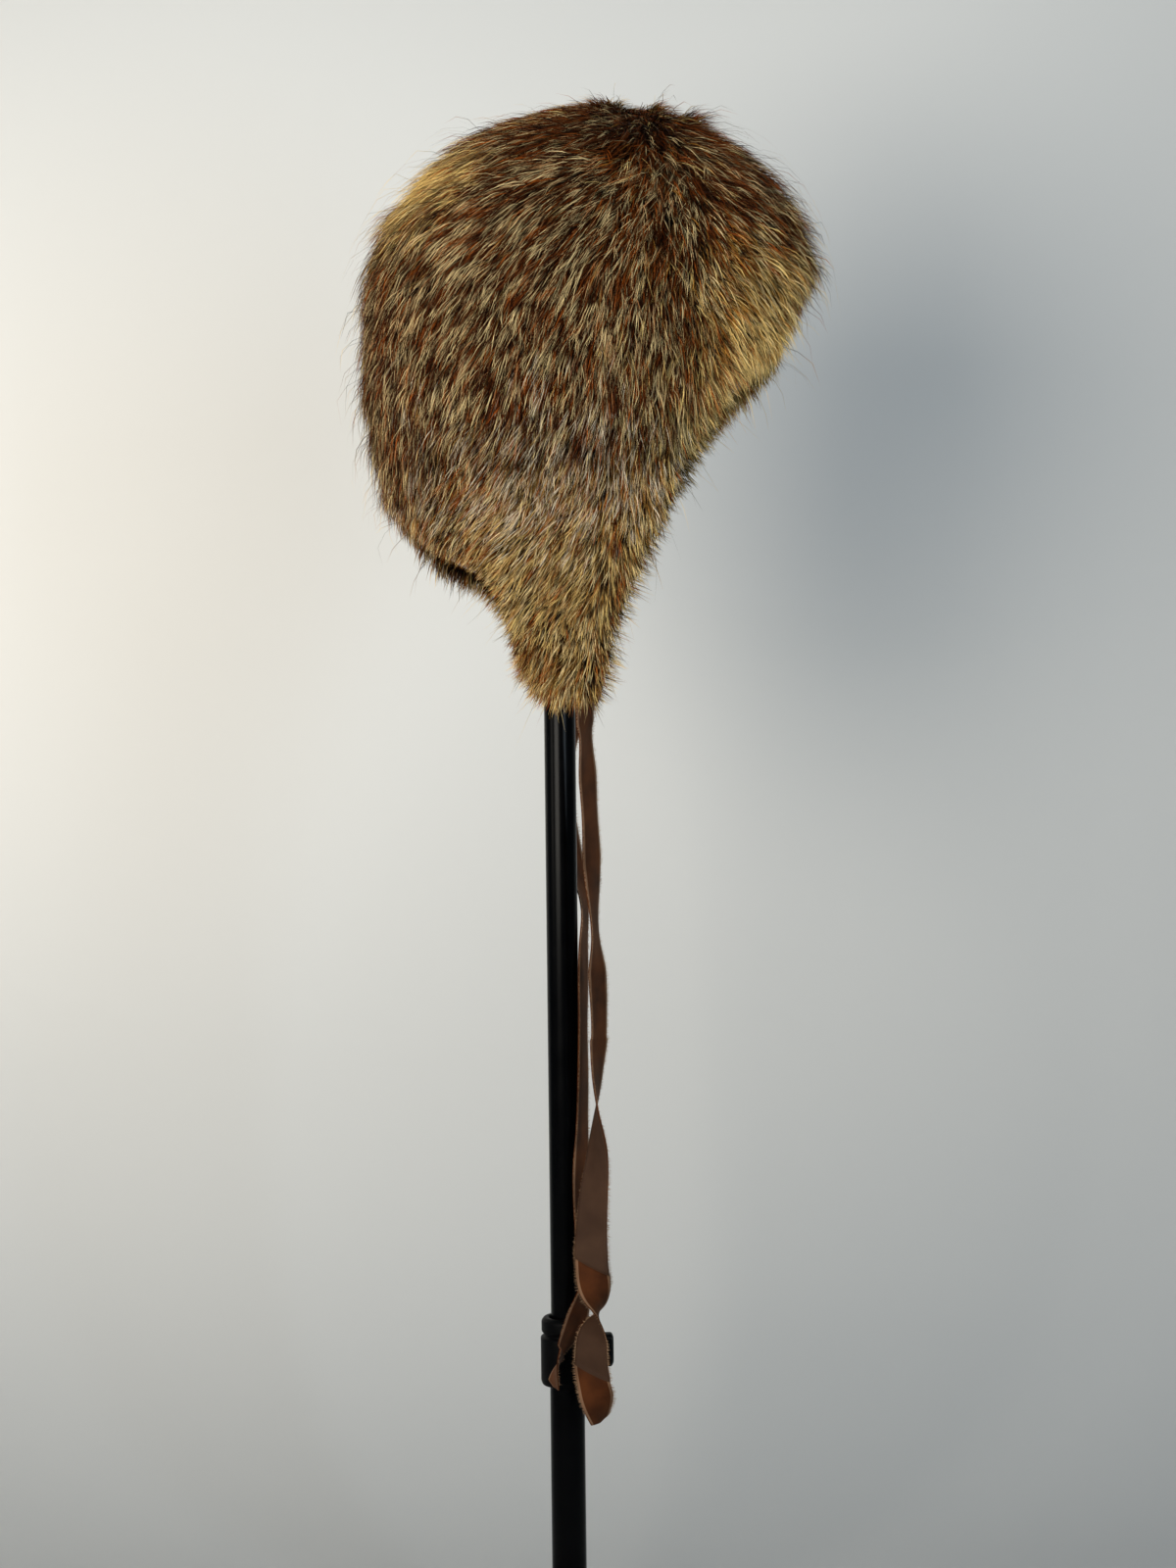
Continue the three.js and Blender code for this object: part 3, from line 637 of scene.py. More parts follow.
def fur_mesh(name, parts, material):
    """One mesh of loose parts, with its colours and its map."""
    offset = 0
    vertices, faces, spots, colours = [], [], [], []
    for part in parts:
        vertices.append(part[0])
        faces.append(part[1] + offset)
        spots.append(part[2])
        colours.append(part[3])
        offset += len(part[0])
    vertices, faces = np.concatenate(vertices) * MM, np.concatenate(faces)
    spots, colours = np.concatenate(spots), np.concatenate(colours)
    mesh = bpy.data.meshes.new(name)
    mesh.vertices.add(len(vertices))
    mesh.vertices.foreach_set("co", vertices.astype(np.float32).ravel())
    mesh.loops.add(len(faces) * 3)
    mesh.loops.foreach_set("vertex_index", faces.astype(np.int32).ravel())
    mesh.polygons.add(len(faces))
    mesh.polygons.foreach_set("loop_start", np.arange(0, len(faces) * 3, 3, dtype=np.int32))
    mesh.polygons.foreach_set("use_smooth", np.ones(len(faces), bool))
    mesh.update(calc_edges=True)
    chart = mesh.uv_layers.new(name="OFBake")
    chart.data.foreach_set("uv", spots[faces.ravel()].astype(np.float32).ravel())
    paint = mesh.attributes.new("fur", "FLOAT_COLOR", "POINT")
    full = np.concatenate([colours, np.ones((len(colours), 1))], axis=1)
    paint.data.foreach_set("color", full.astype(np.float32).ravel())
    mesh.materials.append(material)
    return add_object(name, mesh)


FRONT_SEAM, BACK_SEAM = 56.0, 150.0
FLAP_FRONT, FLAP_BACK = 64.0, 130.0
# Each panel from seam to seam, its bottom and top, its kind and its clumps of guard hair for
# a square millimetre
PANELS = {
    "front_panel": (-FRONT_SEAM, FRONT_SEAM, above_seam, panel_top, "crown", 0.26),
    "right_side": (-BACK_SEAM, -FRONT_SEAM, above_seam, panel_top, "crown", 0.27),
    "left_side": (FRONT_SEAM, BACK_SEAM, above_seam, panel_top, "crown", 0.22),
    "back_panel": (BACK_SEAM, 360 - BACK_SEAM, above_seam, panel_top, "crown", 0.24),
    "right_flap": (-FLAP_BACK, -FLAP_FRONT, edge_level, below_seam, "flap", 0.33),
    "left_flap": (FLAP_FRONT, FLAP_BACK, edge_level, below_seam, "flap", 0.28),
    "nape_flap": (FLAP_BACK, 360 - FLAP_BACK, edge_level, below_seam, "nape", 0.26),
}
ALL_PELTS = {"run": 0.9, "clump": 1.5, "curl": 0.12}
LOOKS = {
    "crown": {
        "length": 18.5, "lift": 0.38, "pull": 0.85, "wave": 0.9,
        "root_depth": 4.6, "jitter": 0.5, "edge_flow": 0.7, "edge_short": (0.35, 0.35),
        "bright": 0.15, "pale": -0.35, "mixed": 0.15,
    },
    "flap": {
        "length": 15.5, "lift": 0.4, "pull": 0.7, "wave": 0.8,
        "root_depth": 5.0, "jitter": 0.6, "edge_flow": 0.35, "edge_short": (0.15, 0.2),
        "bright": 1.4, "pale": 0.3, "mixed": 0.4,
    },
    "nape": {
        "length": 16.5, "lift": 0.38, "pull": 0.75, "wave": 0.8,
        "root_depth": 5.0, "jitter": 0.5, "edge_flow": 0.25, "edge_short": (0.65, 0.1),
        "bright": 0.7, "pale": -0.1, "mixed": 0.3,
    },
}
WOOL_CLUMPS = 0.15
# A few single hairs are longer and stand out of the rest
STRAY = dict(GUARD, width=0.2)
STRAY_LOOK = {
    "length": 25.0, "lift": 0.66, "edge_short": (-0.2, -0.2), "clump": 0.0, "bright": 0.7,
    "pale": 0.6, "wave": 1.6,
}
STRAY_HAIRS = 0.016
# Hairs that grow out of the cut edge of the pelt and hide it
FRINGE_DEEP = 2.0
FRINGE_CLUMPS = 0.9
FRINGE_LOOK = {
    "length": 14.5, "lift": 0.1, "root_depth": 2.6, "jitter": 1.3, "edge_flow": 0.9, "wave": 1.2,
    "edge_short": (0.0, 0.0), "clump": 0.9,
}

fur = fur_material()
for order, (name, panel) in enumerate(PANELS.items()):
    start, end, bottom, top, kind, guard_clumps = panel
    rng = np.random.default_rng(100 + order)
    span = {"from": start, "to": end, "bottom": bottom, "top": top}
    span["side_of_seam"] = 1 if kind == "crown" else -1
    look = dict(ALL_PELTS, **LOOKS[kind])
    # The wool takes the darkest tone and never ends pale, partly as painted shade under the guard
    # hairs
    wool_look = dict(look, length=look["length"] * 0.66, clump=1.6, pull=0.35, pale=-2, bright=0.0)
    wool_look["root_depth"] = look["root_depth"] - 0.4
    stray_look = dict(look, **STRAY_LOOK)
    fringe_look = dict(look, **FRINGE_LOOK)
    rim = dict(span, bottom=edge_level, top=fringe_top)
    wool = ribbons(rng, *grow(rng, span, WOOL_CLUMPS, 3, WOOL, wool_look), WOOL)
    pelt = fur_mesh(name + "_pelt", [hide(span), wool], fur)
    guard = ribbons(rng, *grow(rng, span, guard_clumps, 4, GUARD, look), GUARD)
    stray = ribbons(rng, *grow(rng, span, STRAY_HAIRS, 1, STRAY, stray_look), STRAY)
    fringe = ribbons(rng, *grow(rng, rim, FRINGE_CLUMPS, 3, GUARD, fringe_look), GUARD)
    hairs = fur_mesh(name + "_guard_hairs", [guard, stray, fringe], fur)
    for piece in (pelt, hairs):
        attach(piece, "root")
    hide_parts(name + "_fur")

# Lining
# Brushed cotton cloth, mauve grey, over the inside of the hide and turned in at the edge.
# It is sewn down with a row of stitches all along the free edge.

LINING_DEPTH = 2.0
LINING_CELL = 6.5
LINING_LUMPS = 0.35
STITCH_EVERY = 4.2
STITCH_LONG, STITCH_WIDE, STITCH_HIGH = 2.6, 0.55, 0.3
STITCH_IN = 6.0
LINING_CLOTH = (126, 106, 106)
LINING_SHADE = (96, 79, 81)


def add_noise(nodes, links, coordinates, scale, detail):
    noise = nodes.new("ShaderNodeTexNoise")
    noise.inputs["Scale"].default_value = scale
    noise.inputs["Detail"].default_value = detail
    links.new(coordinates, noise.inputs["Vector"])
    return noise.outputs["Fac"]


def clouded_material(name, values, colours, cloud, grain, bump):
    """A material whose colour wanders between two, under a fine grain. cloud and grain give a
    scale and a detail, and bump a strength and a distance."""
    material, nodes, links, shader = new_material(name, values)
    place = nodes.new("ShaderNodeTexCoord").outputs["Object"]
    wander = add_noise(nodes, links, place, *cloud)
    ramp = nodes.new("ShaderNodeValToRGB")
    for stop, at, colour in zip(ramp.color_ramp.elements, (0.3, 0.7), colours):
        stop.position = at
        stop.color = (*linear(colour), 1)
    links.new(wander, ramp.inputs["Fac"])
    links.new(ramp.outputs["Color"], shader.inputs["Base Color"])
    relief = nodes.new("ShaderNodeBump")
    relief.inputs["Strength"].default_value, relief.inputs["Distance"].default_value = bump
    links.new(add_noise(nodes, links, place, *grain), relief.inputs["Height"])
    links.new(relief.outputs["Normal"], shader.inputs["Normal"])
    return material, wander


def plain_mesh(name, vertices, faces, material):
    mesh = bpy.data.meshes.new(name)
    points = [tuple(v) for v in np.asarray(vertices) * MM]
    mesh.from_pydata(points, [], [tuple(map(int, f)) for f in faces])
    mesh.materials.append(material)
    for face in mesh.polygons:
        face.use_smooth = True
    return add_object(name, mesh)


def edit_whole(piece):
    """Opens a piece in edit mode with all of it selected."""
    bpy.ops.object.select_all(action="DESELECT")
    bpy.context.view_layer.objects.active = piece
    piece.select_set(True)
    bpy.ops.object.mode_set(mode="EDIT")
    bpy.ops.mesh.select_all(action="SELECT")


def weld(piece):
    """Merges the points that lie together."""
    edit_whole(piece)
    bpy.ops.mesh.remove_doubles(threshold=2e-5)
    bpy.ops.object.mode_set(mode="OBJECT")
    piece.select_set(False)


def at_places(places, keys, values):
    return np.stack([np.interp(places, keys, values[:, k]) for k in range(3)], -1)


def stitches(start, end):
    """Small raised stitches on the inside of the lining, a little in from the free edge."""
    sides = np.linspace(start, end, 4000)
    levels = edge_level(sides) + STITCH_IN / LEVEL_LENGTH
    line = over_skin(sides, levels, np.full_like(sides, -LINING_DEPTH - LINING_LUMPS))
    run = np.concatenate([[0], np.cumsum(np.linalg.norm(np.diff(line, axis=0), axis=1))])
    at = np.arange(STITCH_EVERY, run[-1] - STITCH_EVERY, STITCH_EVERY)
    middle = at_places(at, run, line)
    ahead = at_places(at + 0.5, run, line) - middle
    ahead /= np.linalg.norm(ahead, axis=1, keepdims=True)
    inward = -skin_normal(np.interp(at, run, sides), np.interp(at, run, levels))
    across = np.cross(inward, ahead)
    corners = []
    for end_share in (-1, -0.6, 0.6, 1):
        thick = 0.3 if abs(end_share) == 1 else 1.0
        for wide, high in ((-1, 0), (-0.6, 1), (0.6, 1), (1, 0)):
            spot = middle + ahead * end_share * STITCH_LONG / 2
            spot = spot + across * wide * thick * STITCH_WIDE / 2
            corners.append(spot + inward * high * thick * STITCH_HIGH)
    vertices = np.stack(corners, 1)
    faces = []
    for ring in range(3):
        for k in range(4):
            a, b = ring * 4 + k, ring * 4 + (k + 1) % 4
            faces.append([a, a + 4, b + 4, b])
    faces += [[0, 1, 2, 3], [15, 14, 13, 12]]
    faces = np.concatenate([np.array(faces) + 16 * k for k in range(len(vertices))])
    return vertices.reshape(-1, 3), faces


cotton, _ = clouded_material(
    "lining_cotton", {"Roughness": 0.85, "Specular IOR Level": 0.15, "Sheen Weight": 0.2},
    (LINING_SHADE, LINING_CLOTH), (45, 6), (1500, 3), (0.35, 0.0003),
)
for node, start, end, bottom, top in (
    ("crown_lining", -180, 180, above_seam, np.ones_like),
    ("right_flap_lining", -FLAP_BACK, -FLAP_FRONT, edge_level, below_seam),
    ("left_flap_lining", FLAP_FRONT, FLAP_BACK, edge_level, below_seam),
    ("nape_flap_lining", FLAP_BACK, 360 - FLAP_BACK, edge_level, below_seam),
):
    closed = node == "crown_lining"
    span = {"from": start, "to": end, "bottom": bottom, "top": top, "closed": closed}
    vertices, faces, _ = wall(span, -LINING_DEPTH, 0.0, LINING_CELL, LINING_LUMPS)
    piece = plain_mesh(node + "_cloth", vertices, faces, cotton)
    if closed:
        weld(piece)
    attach(piece, "root")
    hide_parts(node)
piece = plain_mesh("lining_stitches", *stitches(-180, 180), cotton)
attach(piece, "root")

# Ties
# Cotton velvet ribbon 18 mm wide, sewn inside the tip of each flap and left to hang. Its
# face has a brown pile, and its back is matte. Along both edges the face and its pile are
# painted paler brown, a painted highlight where they catch the light.

TIE_WIDTH = 18.0
TIE_THICKNESS = 0.9
TIE_STEPS = 320
TIE_LANES = 8
TIE_SLANT = 5.6
CREASES = {"right_tie": (0.795, 0.933), "left_tie": (0.955,)}
CREASE_STEP = 0.9
CREASE_REACH = 9.0
FIRST_TWIST = math.radians(62)
# Painted highlight: the velvet face is paler brown along both edges, where the edges catch the
# light
EDGE_HIGHLIGHT = (150, 112, 84)
EDGE_HIGHLIGHT_DIM = (112, 80, 58)
PILE_EVERY = 0.4
PILE_LONG = 1.7
PILE_WIDE = 0.32
VELVET = (98, 52, 23)
VELVET_SHADE = (54, 27, 12)
RIBBON_BACK = (82, 58, 43)
RIBBON_BACK_SHADE = (68, 47, 35)
# Painted highlight: the pile along the edges is pale where it catches the light; also the sheen's
# tint
PILE_HIGHLIGHT = (200, 160, 124)


def ribbon_material(name, light, dark, sheen, grain):
    values = {
        "Roughness": 0.8, "Specular IOR Level": 0.12, "Sheen Weight": sheen,
        "Sheen Roughness": 0.35, "Sheen Tint": (*linear(PILE_HIGHLIGHT), 1),
    }
    return clouded_material(name, values, (dark, light), (60, 5), (grain, 2), (0.3, 0.0003))[0]


def tie_path(node):
    """The middle line of a tie and the way its width points, from its solid's sections."""
    points = np.array([tuple(v.co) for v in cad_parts[node].data.vertices]) / MM
    heights = np.unique(np.round(points[:, 2], 2))[::-1]
    centres, ways = [], []
    for height in heights:
        ring = np.unique(np.round(points[np.abs(points[:, 2] - height) < 0.02], 2), axis=0)
        near = np.argsort(np.linalg.norm(ring - ring[0], axis=1))
        start = ring[near[:2]].mean(0)
        finish = ring[near[2:]].mean(0)
        way = (finish - start) / np.linalg.norm(finish - start)
        last = ways[-1] if ways else np.array([1.0, 0, 0])
        centres.append((start + finish) / 2)
        ways.append(way if way @ last > 0 else -way)
    return np.array(centres), np.array(ways)


def smoothed(values, passes):
    for _ in range(passes):
        values[1:-1] = (values[:-2] + 2 * values[1:-1] + values[2:]) / 4
    return values


def make_tie(name, node, seed, materials):
    """A tie along its solid's middle line. At a crease the velvet changes to the other side."""
    centres, ways = tie_path(node)
    run = np.concatenate([[0], np.cumsum(np.linalg.norm(np.diff(centres, axis=0), axis=1))])
    at = np.linspace(0, run[-1], TIE_STEPS)
    turn = np.unwrap(np.arctan2(ways[:, 1], ways[:, 0]), period=math.pi)
    turn = smoothed(np.interp(at, run, turn), 4)
    turn = np.maximum(turn, FIRST_TWIST * smooth(13, 24, at) * (at < run[-1] / 2))
    middle = smoothed(at_places(at, run, centres), 6)
    along = np.gradient(middle, axis=0)
    along /= np.linalg.norm(along, axis=1, keepdims=True)
    lane = np.concatenate([[-1], np.linspace(-0.84, 0.84, TIE_LANES - 1), [1]])[None, :]
    hanging = smooth(20, 60, at)[:, None]
    slant = TIE_SLANT * np.cos(turn)[:, None]
    place = np.clip(at[:, None] + slant * lane * hanging, 0, run[-1])
    spin = np.interp(place, at, turn)
    along = at_places(place, at, along)
    across = np.stack([np.cos(spin), np.sin(spin), np.zeros_like(spin)], -1)
    across -= along * (across * along).sum(-1, keepdims=True)
    across /= np.linalg.norm(across, axis=-1, keepdims=True)
    face = np.cross(along, across)
    lift = 0.4 * np.sin(at / 31 + seed)[:, None] * (lane ** 2 - 0.5)
    curl = np.abs(lane) ** 3 * np.sign(lane + 0.3)
    lift = lift + 0.35 * np.sin(at / 9.5 + 2 * seed)[:, None] * curl
    side_up = np.ones(TIE_STEPS)
    creases = [run[-1] * share for share in CREASES[node]]
    for crease in creases:
        side_up[at > crease] *= -1
        past = (at - crease) / CREASE_REACH
        step = np.where(past < 0, np.exp(-past ** 2), -np.exp(-past ** 2))
        lift = lift - CREASE_STEP * step[:, None]
    sheet = at_places(place, at, middle) + across * lane[..., None] * TIE_WIDTH / 2
    sheet = sheet + face * (lift * hanging)[..., None]
    half = face * TIE_THICKNESS / 2
    front, back = sheet + half, sheet - half
    vertices = np.concatenate([front.reshape(-1, 3), back.reshape(-1, 3)])
    number = np.arange(TIE_STEPS * (TIE_LANES + 1)).reshape(TIE_STEPS, TIE_LANES + 1)
    under = number + number.size

    def quads(a, b, c, d):
        return np.stack([np.ravel(k) for k in (a, b, c, d)], 1)

    front_faces = quads(number[:-1, :-1], number[1:, :-1], number[1:, 1:], number[:-1, 1:])
    back_faces = quads(under[:-1, :-1], under[:-1, 1:], under[1:, 1:], under[1:, :-1])
    edges = np.concatenate([
        quads(number[:-1, 0], under[:-1, 0], under[1:, 0], number[1:, 0]),
        quads(number[:-1, -1], number[1:, -1], under[1:, -1], under[:-1, -1]),
        quads(number[0, :-1], number[0, 1:], under[0, 1:], under[0, :-1]),
        quads(number[-1, :-1], under[-1, :-1], under[-1, 1:], number[-1, 1:]),
    ])
    faces = np.concatenate([front_faces, back_faces, edges])
    piece = plain_mesh(name, vertices, faces, materials[0])
    for material in materials[1:]:
        piece.data.materials.append(material)
    velvet_up = np.repeat((side_up[:-1] > 0)[:, None], TIE_LANES, axis=1)
    at_edge = np.zeros_like(velvet_up)
    at_edge[:, [0, -1]] = True
    marks = np.zeros(len(piece.data.polygons), np.int32)
    count = len(front_faces)
    # Faces in the outermost lane on each edge of the velvet face take the painted edge highlight
    marks[:count] = np.where(velvet_up, at_edge * 2, 1).ravel()
    marks[count:2 * count] = np.where(velvet_up, 1, at_edge * 2).ravel()
    piece.data.polygons.foreach_set("material_index", marks)
    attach(piece, "root")
    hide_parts(node)
    return piece, run[-1], (at, front, across, face)


def make_pile(name, rows, seed, material):
    """The velvet's pile, standing out along both edges of a tie."""
    at, front, across, face = rows
    rng = np.random.default_rng(seed)
    vertices, faces = [], []
    for lane, sign in ((0, -1), (-1, 1)):
        spots = np.arange(2, at[-1] - 4, PILE_EVERY)
        spots = spots + 0.2 * rng.normal(size=len(spots))
        edge = at_places(spots, at, front[:, lane])
        out = at_places(spots, at, across[:, lane]) * sign
        up = at_places(spots, at, face[:, lane])
        along = np.cross(out, up)
        count = len(spots)
        long = PILE_LONG * rng.uniform(0.6, 1.3, (count, 1))
        lean = rng.uniform(-0.5, 0.5, (count, 1))
        rise = rng.uniform(-0.2, 0.9, (count, 1))
        tip = edge + out * long + along * lean * long + up * rise * long * 0.6
        half = along * PILE_WIDE / 2
        base = np.stack([edge - half, edge + half, edge - up * PILE_WIDE], 1)
        start = sum(len(v) for v in vertices)
        vertices.append(np.concatenate([base, tip[:, None]], 1).reshape(-1, 3))
        first = start + 4 * np.arange(count)[:, None]
        for corners in ((0, 1, 3), (1, 2, 3), (2, 0, 3), (0, 2, 1)):
            faces.append(first + np.array(corners)[None])
    piece = plain_mesh(name, np.concatenate(vertices), np.concatenate(faces), material)
    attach(piece, "root")
    return piece


velvet = ribbon_material("velvet_face", VELVET, VELVET_SHADE, 0.35, 2600)
ribbon_back = ribbon_material("ribbon_back", RIBBON_BACK, RIBBON_BACK_SHADE, 0.05, 1800)
# The painted highlight along the velvet's edges
edge_highlight = ribbon_material("ribbon_edge_highlight", EDGE_HIGHLIGHT, EDGE_HIGHLIGHT_DIM, 0.2, 2200)
# The pile is painted pale, a painted highlight along the edges
pile = ribbon_material("velvet_pile_highlight", PILE_HIGHLIGHT, EDGE_HIGHLIGHT, 0.3, 2600)
for side_name, seed in (("right", 1), ("left", 4)):
    node = side_name + "_tie"
    cloths = (velvet, ribbon_back, edge_highlight)
    tie, tie_length, rows = make_tie(side_name + "_ribbon", node, seed, cloths)
    edge_pile = make_pile(side_name + "_ribbon_pile", rows, seed, pile)

# Stand
# A telescoping pole of black lacquered steel on a round weighted base. Each part is turned
# and its edges are broken with a small radius.

TUBE_BLACK = (3, 3, 4)
TUBE_SHEEN = (6, 6, 7)
TURNED_SIDES = 96


def black_material(name, roughness, grain, relief):
    material, cloud = clouded_material(
        name, {"Specular IOR Level": 0.07}, (TUBE_BLACK, TUBE_SHEEN), (90, 4), (grain, 2),
        (relief, 0.0002),
    )
    nodes, links = material.node_tree.nodes, material.node_tree.links
    spread = nodes.new("ShaderNodeMapRange")
    spread.inputs["To Min"].default_value = roughness - 0.05
    spread.inputs["To Max"].default_value = roughness + 0.05
    links.new(cloud, spread.inputs["Value"])
    links.new(spread.outputs["Result"], nodes["Principled BSDF"].inputs["Roughness"])
    return material


def rounded(outline, radius, steps=4):
    """An outline with its corners rounded. A corner on the axis stays as it is."""
    result = []
    count = len(outline)
    for k, corner in enumerate(outline):
        corner = np.array(corner, float)
        before = np.array(outline[k - 1], float) - corner
        after = np.array(outline[(k + 1) % count], float) - corner
        if corner[0] < 1e-6 or np.linalg.norm(before) < 1e-6:
            result.append(tuple(corner))
            continue
        cut = min(radius, np.linalg.norm(before) / 2.2, np.linalg.norm(after) / 2.2)
        first = corner + before / np.linalg.norm(before) * cut
        last = corner + after / np.linalg.norm(after) * cut
        for step in range(steps + 1):
            t = step / steps
            result.append(tuple((1 - t) ** 2 * first + 2 * t * (1 - t) * corner + t * t * last))
    return result


def turned(name, outline, material, sides=TURNED_SIDES):
    """A piece turned round the pole's axis from its outline of radius and height."""
    closed = outline[0][0] > 1e-6
    vertices = [(r * MM, 0, z * MM) for r, z in outline]
    edges = [(k, k + 1) for k in range(len(vertices) - 1)]
    if closed:
        edges.append((len(vertices) - 1, 0))
    mesh = bpy.data.meshes.new(name)
    mesh.from_pydata(vertices, edges, [])
    piece = add_object(name, mesh)
    edit_whole(piece)
    bpy.ops.mesh.spin(steps=sides, angle=2 * math.pi, center=(0, 0, 0), axis=(0, 0, 1))
    bpy.ops.mesh.select_all(action="SELECT")
    bpy.ops.mesh.remove_doubles(threshold=1e-5)
    bpy.ops.mesh.normals_make_consistent(inside=False)
    bpy.ops.object.mode_set(mode="OBJECT")
    bpy.ops.object.shade_smooth_by_angle(angle=math.radians(40))
    piece.data.materials.clear()
    piece.data.materials.append(material)
    piece.select_set(False)
    return piece


def finish_stand_piece(piece, node):
    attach(piece, "root")
    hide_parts(node)


def node_round(node):
    """A turned node's outer radius, its foot and its top, in millimetres."""
    low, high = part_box(node)
    return (high.y - low.y) / 2 / MM, low.z / MM, high.z / MM


tube = black_material("black_lacquer", 0.24, 700, 0.02)
base_radius, base_foot, base_top = node_round("stand_base")
base_outline = [(0, base_foot), (base_radius, base_foot), (base_radius, base_top), (0, base_top)]
base_outline = rounded(base_outline, 2.5)
finish_stand_piece(turned("base_plate", base_outline, tube), "stand_base")

TUBE_WALL = 0.8
SOCKET_BORE = 9.8
for name, node, bore, radius in (
    ("base_socket", "foot_socket", SOCKET_BORE, 1.6),
    ("outer_tube", "lower_pole", None, 0.3),
    ("inner_tube", "upper_pole", None, 0.3),
):
    outer, foot, top = node_round(node)
    inner = bore or outer - TUBE_WALL
    outline = rounded([(inner, foot), (outer, foot), (outer, top), (inner, top)], radius)
    finish_stand_piece(turned(name, outline, tube), node)
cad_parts["pole_cap"].data.materials.clear()
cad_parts["pole_cap"].data.materials.append(tube)

# Clamp
# Black moulded plastic: a collar with a groove under its lip, split on one side into two
# ears that the knob's screw draws together, and a fluted knob.

plastic = black_material("black_nylon", 0.48, 1400, 0.25)
collar_radius, collar_foot, collar_top = node_round("clamp_collar")
COLLAR_BORE = 9.8
LIP_HEIGHT = 8.5
GROOVE_HEIGHT = 2.4
GROOVE_DEPTH = 1.6
lip_foot = collar_top - LIP_HEIGHT
collar_outline = [
    (COLLAR_BORE, collar_foot),
    (collar_radius - 0.8, collar_foot),
    (collar_radius, collar_foot + 2.5),
    (collar_radius, lip_foot - GROOVE_HEIGHT),
    (collar_radius - GROOVE_DEPTH, lip_foot - GROOVE_HEIGHT * 0.6),
    (collar_radius - GROOVE_DEPTH, lip_foot - GROOVE_HEIGHT * 0.2),
    (collar_radius - 0.5, lip_foot + 0.8),
    (collar_radius - 0.5, collar_top - 2),
    (collar_radius - 2, collar_top),
    (COLLAR_BORE, collar_top),
]
collar = turned("collar", rounded(collar_outline, 0.7, 3), plastic)
finish_stand_piece(collar, "clamp_collar")

EAR_LONG = 5.0
EAR_WIDE = 4.6
EAR_TALL = 15.0
EAR_SLOT = 1.4
knob_low, knob_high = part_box("clamp_knob")
knob_height = (knob_low.z + knob_high.z) / 2
for name, sign in (("collar_ear_near", -1), ("collar_ear_far", 1)):
    bpy.ops.mesh.primitive_cube_add(size=1)
    ear = bpy.context.object
    ear.name = name
    place = Vector((
        (collar_radius - 1 + EAR_LONG / 2) * MM,
        sign * (EAR_SLOT + EAR_WIDE) / 2 * MM,
        knob_height,
    ))
    for v in ear.data.vertices:
        v.co = Vector((v.co.x * EAR_LONG, v.co.y * EAR_WIDE, v.co.z * EAR_TALL)) * MM + place
    ear.location = (0, 0, 0)
    bevel = ear.modifiers.new("edge", "BEVEL")
    bevel.width = 1.1 * MM
    bevel.segments = 3
    bpy.ops.object.modifier_apply(modifier="edge")
    bpy.ops.object.shade_smooth_by_angle(angle=math.radians(40))
    ear.data.materials.append(plastic)
    ear.select_set(False)
    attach(ear, "root")

KNOB_STEM = 3.2
KNOB_GRIP = 4.0
KNOB_FLUTES = 12
KNOB_FLUTE = 0.55
knob_radius = (knob_high.z - knob_low.z) / 2 / MM
knob_long = (knob_high.x - knob_low.x) / MM
knob_outline = rounded([
    (0, 0), (KNOB_STEM, 0), (KNOB_STEM, KNOB_GRIP), (knob_radius, KNOB_GRIP),
    (knob_radius, knob_long - 1.2), (knob_radius - 2.2, knob_long), (0, knob_long),
], 0.9)
knob = turned("knob", knob_outline, plastic)
for v in knob.data.vertices:
    radius = math.hypot(v.co.x, v.co.y)
    if radius > (knob_radius - 2) * MM:
        turn = math.atan2(v.co.y, v.co.x)
        cut = 1 - KNOB_FLUTE * MM / radius * (0.5 + 0.5 * math.cos(KNOB_FLUTES * turn)) ** 2
        v.co.x *= cut
        v.co.y *= cut
for v in knob.data.vertices:
    v.co = Vector((knob_low.x + v.co.z, v.co.y, knob_height - v.co.x))
knob.data.update()
finish_stand_piece(knob, "clamp_knob")

# Studio
# A pale floor that curves up into a wall, soft light from the upper left.

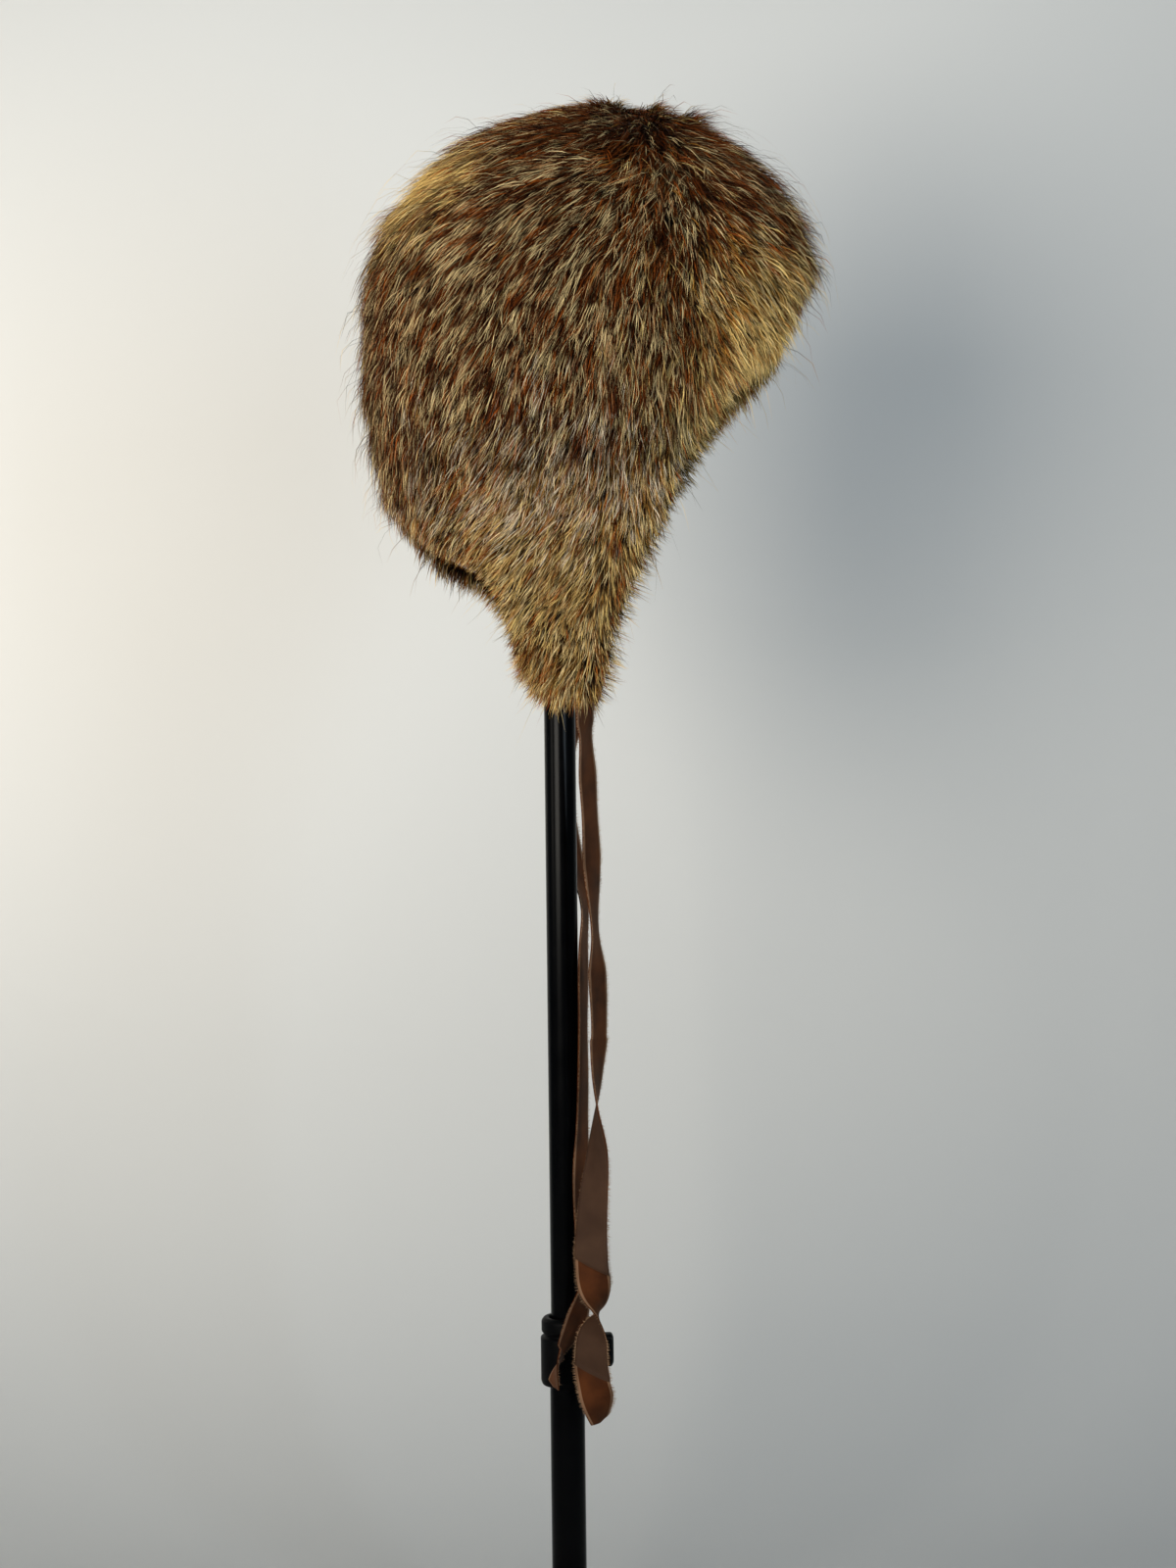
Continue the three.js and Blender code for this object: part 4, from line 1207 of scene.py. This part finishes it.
FLOOR_WIDTH = 6.0
FLOOR_FRONT = -3.0
WALL_AT = 0.48
WALL_BEND = 0.28
BEND_STEPS = 12
WALL_HEIGHT = 3.2
outline = [(FLOOR_FRONT, 0.0), (WALL_AT - WALL_BEND, 0.0)]
for k in range(1, BEND_STEPS + 1):
    turn = QUARTER_TURN * k / BEND_STEPS
    back = WALL_AT - WALL_BEND + WALL_BEND * math.sin(turn)
    outline.append((back, WALL_BEND - WALL_BEND * math.cos(turn)))
outline.append((WALL_AT, WALL_HEIGHT))
vertices = [(x, y, z) for y, z in outline for x in (-FLOOR_WIDTH / 2, FLOOR_WIDTH / 2)]
faces = [(2 * k, 2 * k + 1, 2 * k + 3, 2 * k + 2) for k in range(len(outline) - 1)]
mesh = bpy.data.meshes.new("backdrop")
mesh.from_pydata(vertices, [], faces)
for face in mesh.polygons:
    face.use_smooth = True
backdrop = add_object("backdrop", mesh)
paper = {"Base Color": (0.72, 0.715, 0.7, 1), "Roughness": 0.9}
mesh.materials.append(new_material("backdrop_paper", paper)[0])


def area_light(name, place, aim, size, spread, power, colour):
    data = bpy.data.lights.new(name, "AREA")
    data.spread = math.radians(spread)
    data.shape = "RECTANGLE"
    data.size, data.size_y = size
    data.energy = power
    data.color = colour
    lamp = add_object(name, data)
    lamp.location = place
    direction = Vector(aim) - Vector(place)
    lamp.rotation_euler = direction.to_track_quat("-Z", "Y").to_euler()


WARM, WARMER, COOL = (1.0, 0.95, 0.85), (1.0, 0.93, 0.81), (0.74, 0.88, 1.0)
area_light("window_light", (-0.62, -1.3, 0.7), (0.0, 0.0, 1.18), (0.7, 0.7), 118, 9.8, WARM)
area_light("wall_light", (-1.0, -0.3, 0.7), (-0.45, 0.48, 0.64), (0.6, 0.6), 80, 1.9, WARMER)
area_light("side_light", (0.84, -1.25, 0.78), (0.0, 0.0, 1.1), (0.4, 0.8), 120, 4.2, COOL)
world = bpy.data.worlds.new("room")
world.use_nodes = True
room_light = world.node_tree.nodes["Background"].inputs
room_light["Color"].default_value = (0.56, 0.78, 1.0, 1)
room_light["Strength"].default_value = 0.13
bpy.context.scene.world = world
bpy.context.scene.view_settings.view_transform = "Standard"

# Camera
# Level, in front of the hat's right side.

CAMERA_AT = (0.0152, -1.35, 0.491)
CAMERA_ROLL = 0.0116
camera_data = bpy.data.cameras.new("camera")
camera_data.lens = 56.25
camera_data.sensor_width = 36
camera = add_object("camera", camera_data)
camera.location = CAMERA_AT
camera.rotation_euler = (QUARTER_TURN, CAMERA_ROLL, 0)
bpy.context.scene.camera = camera
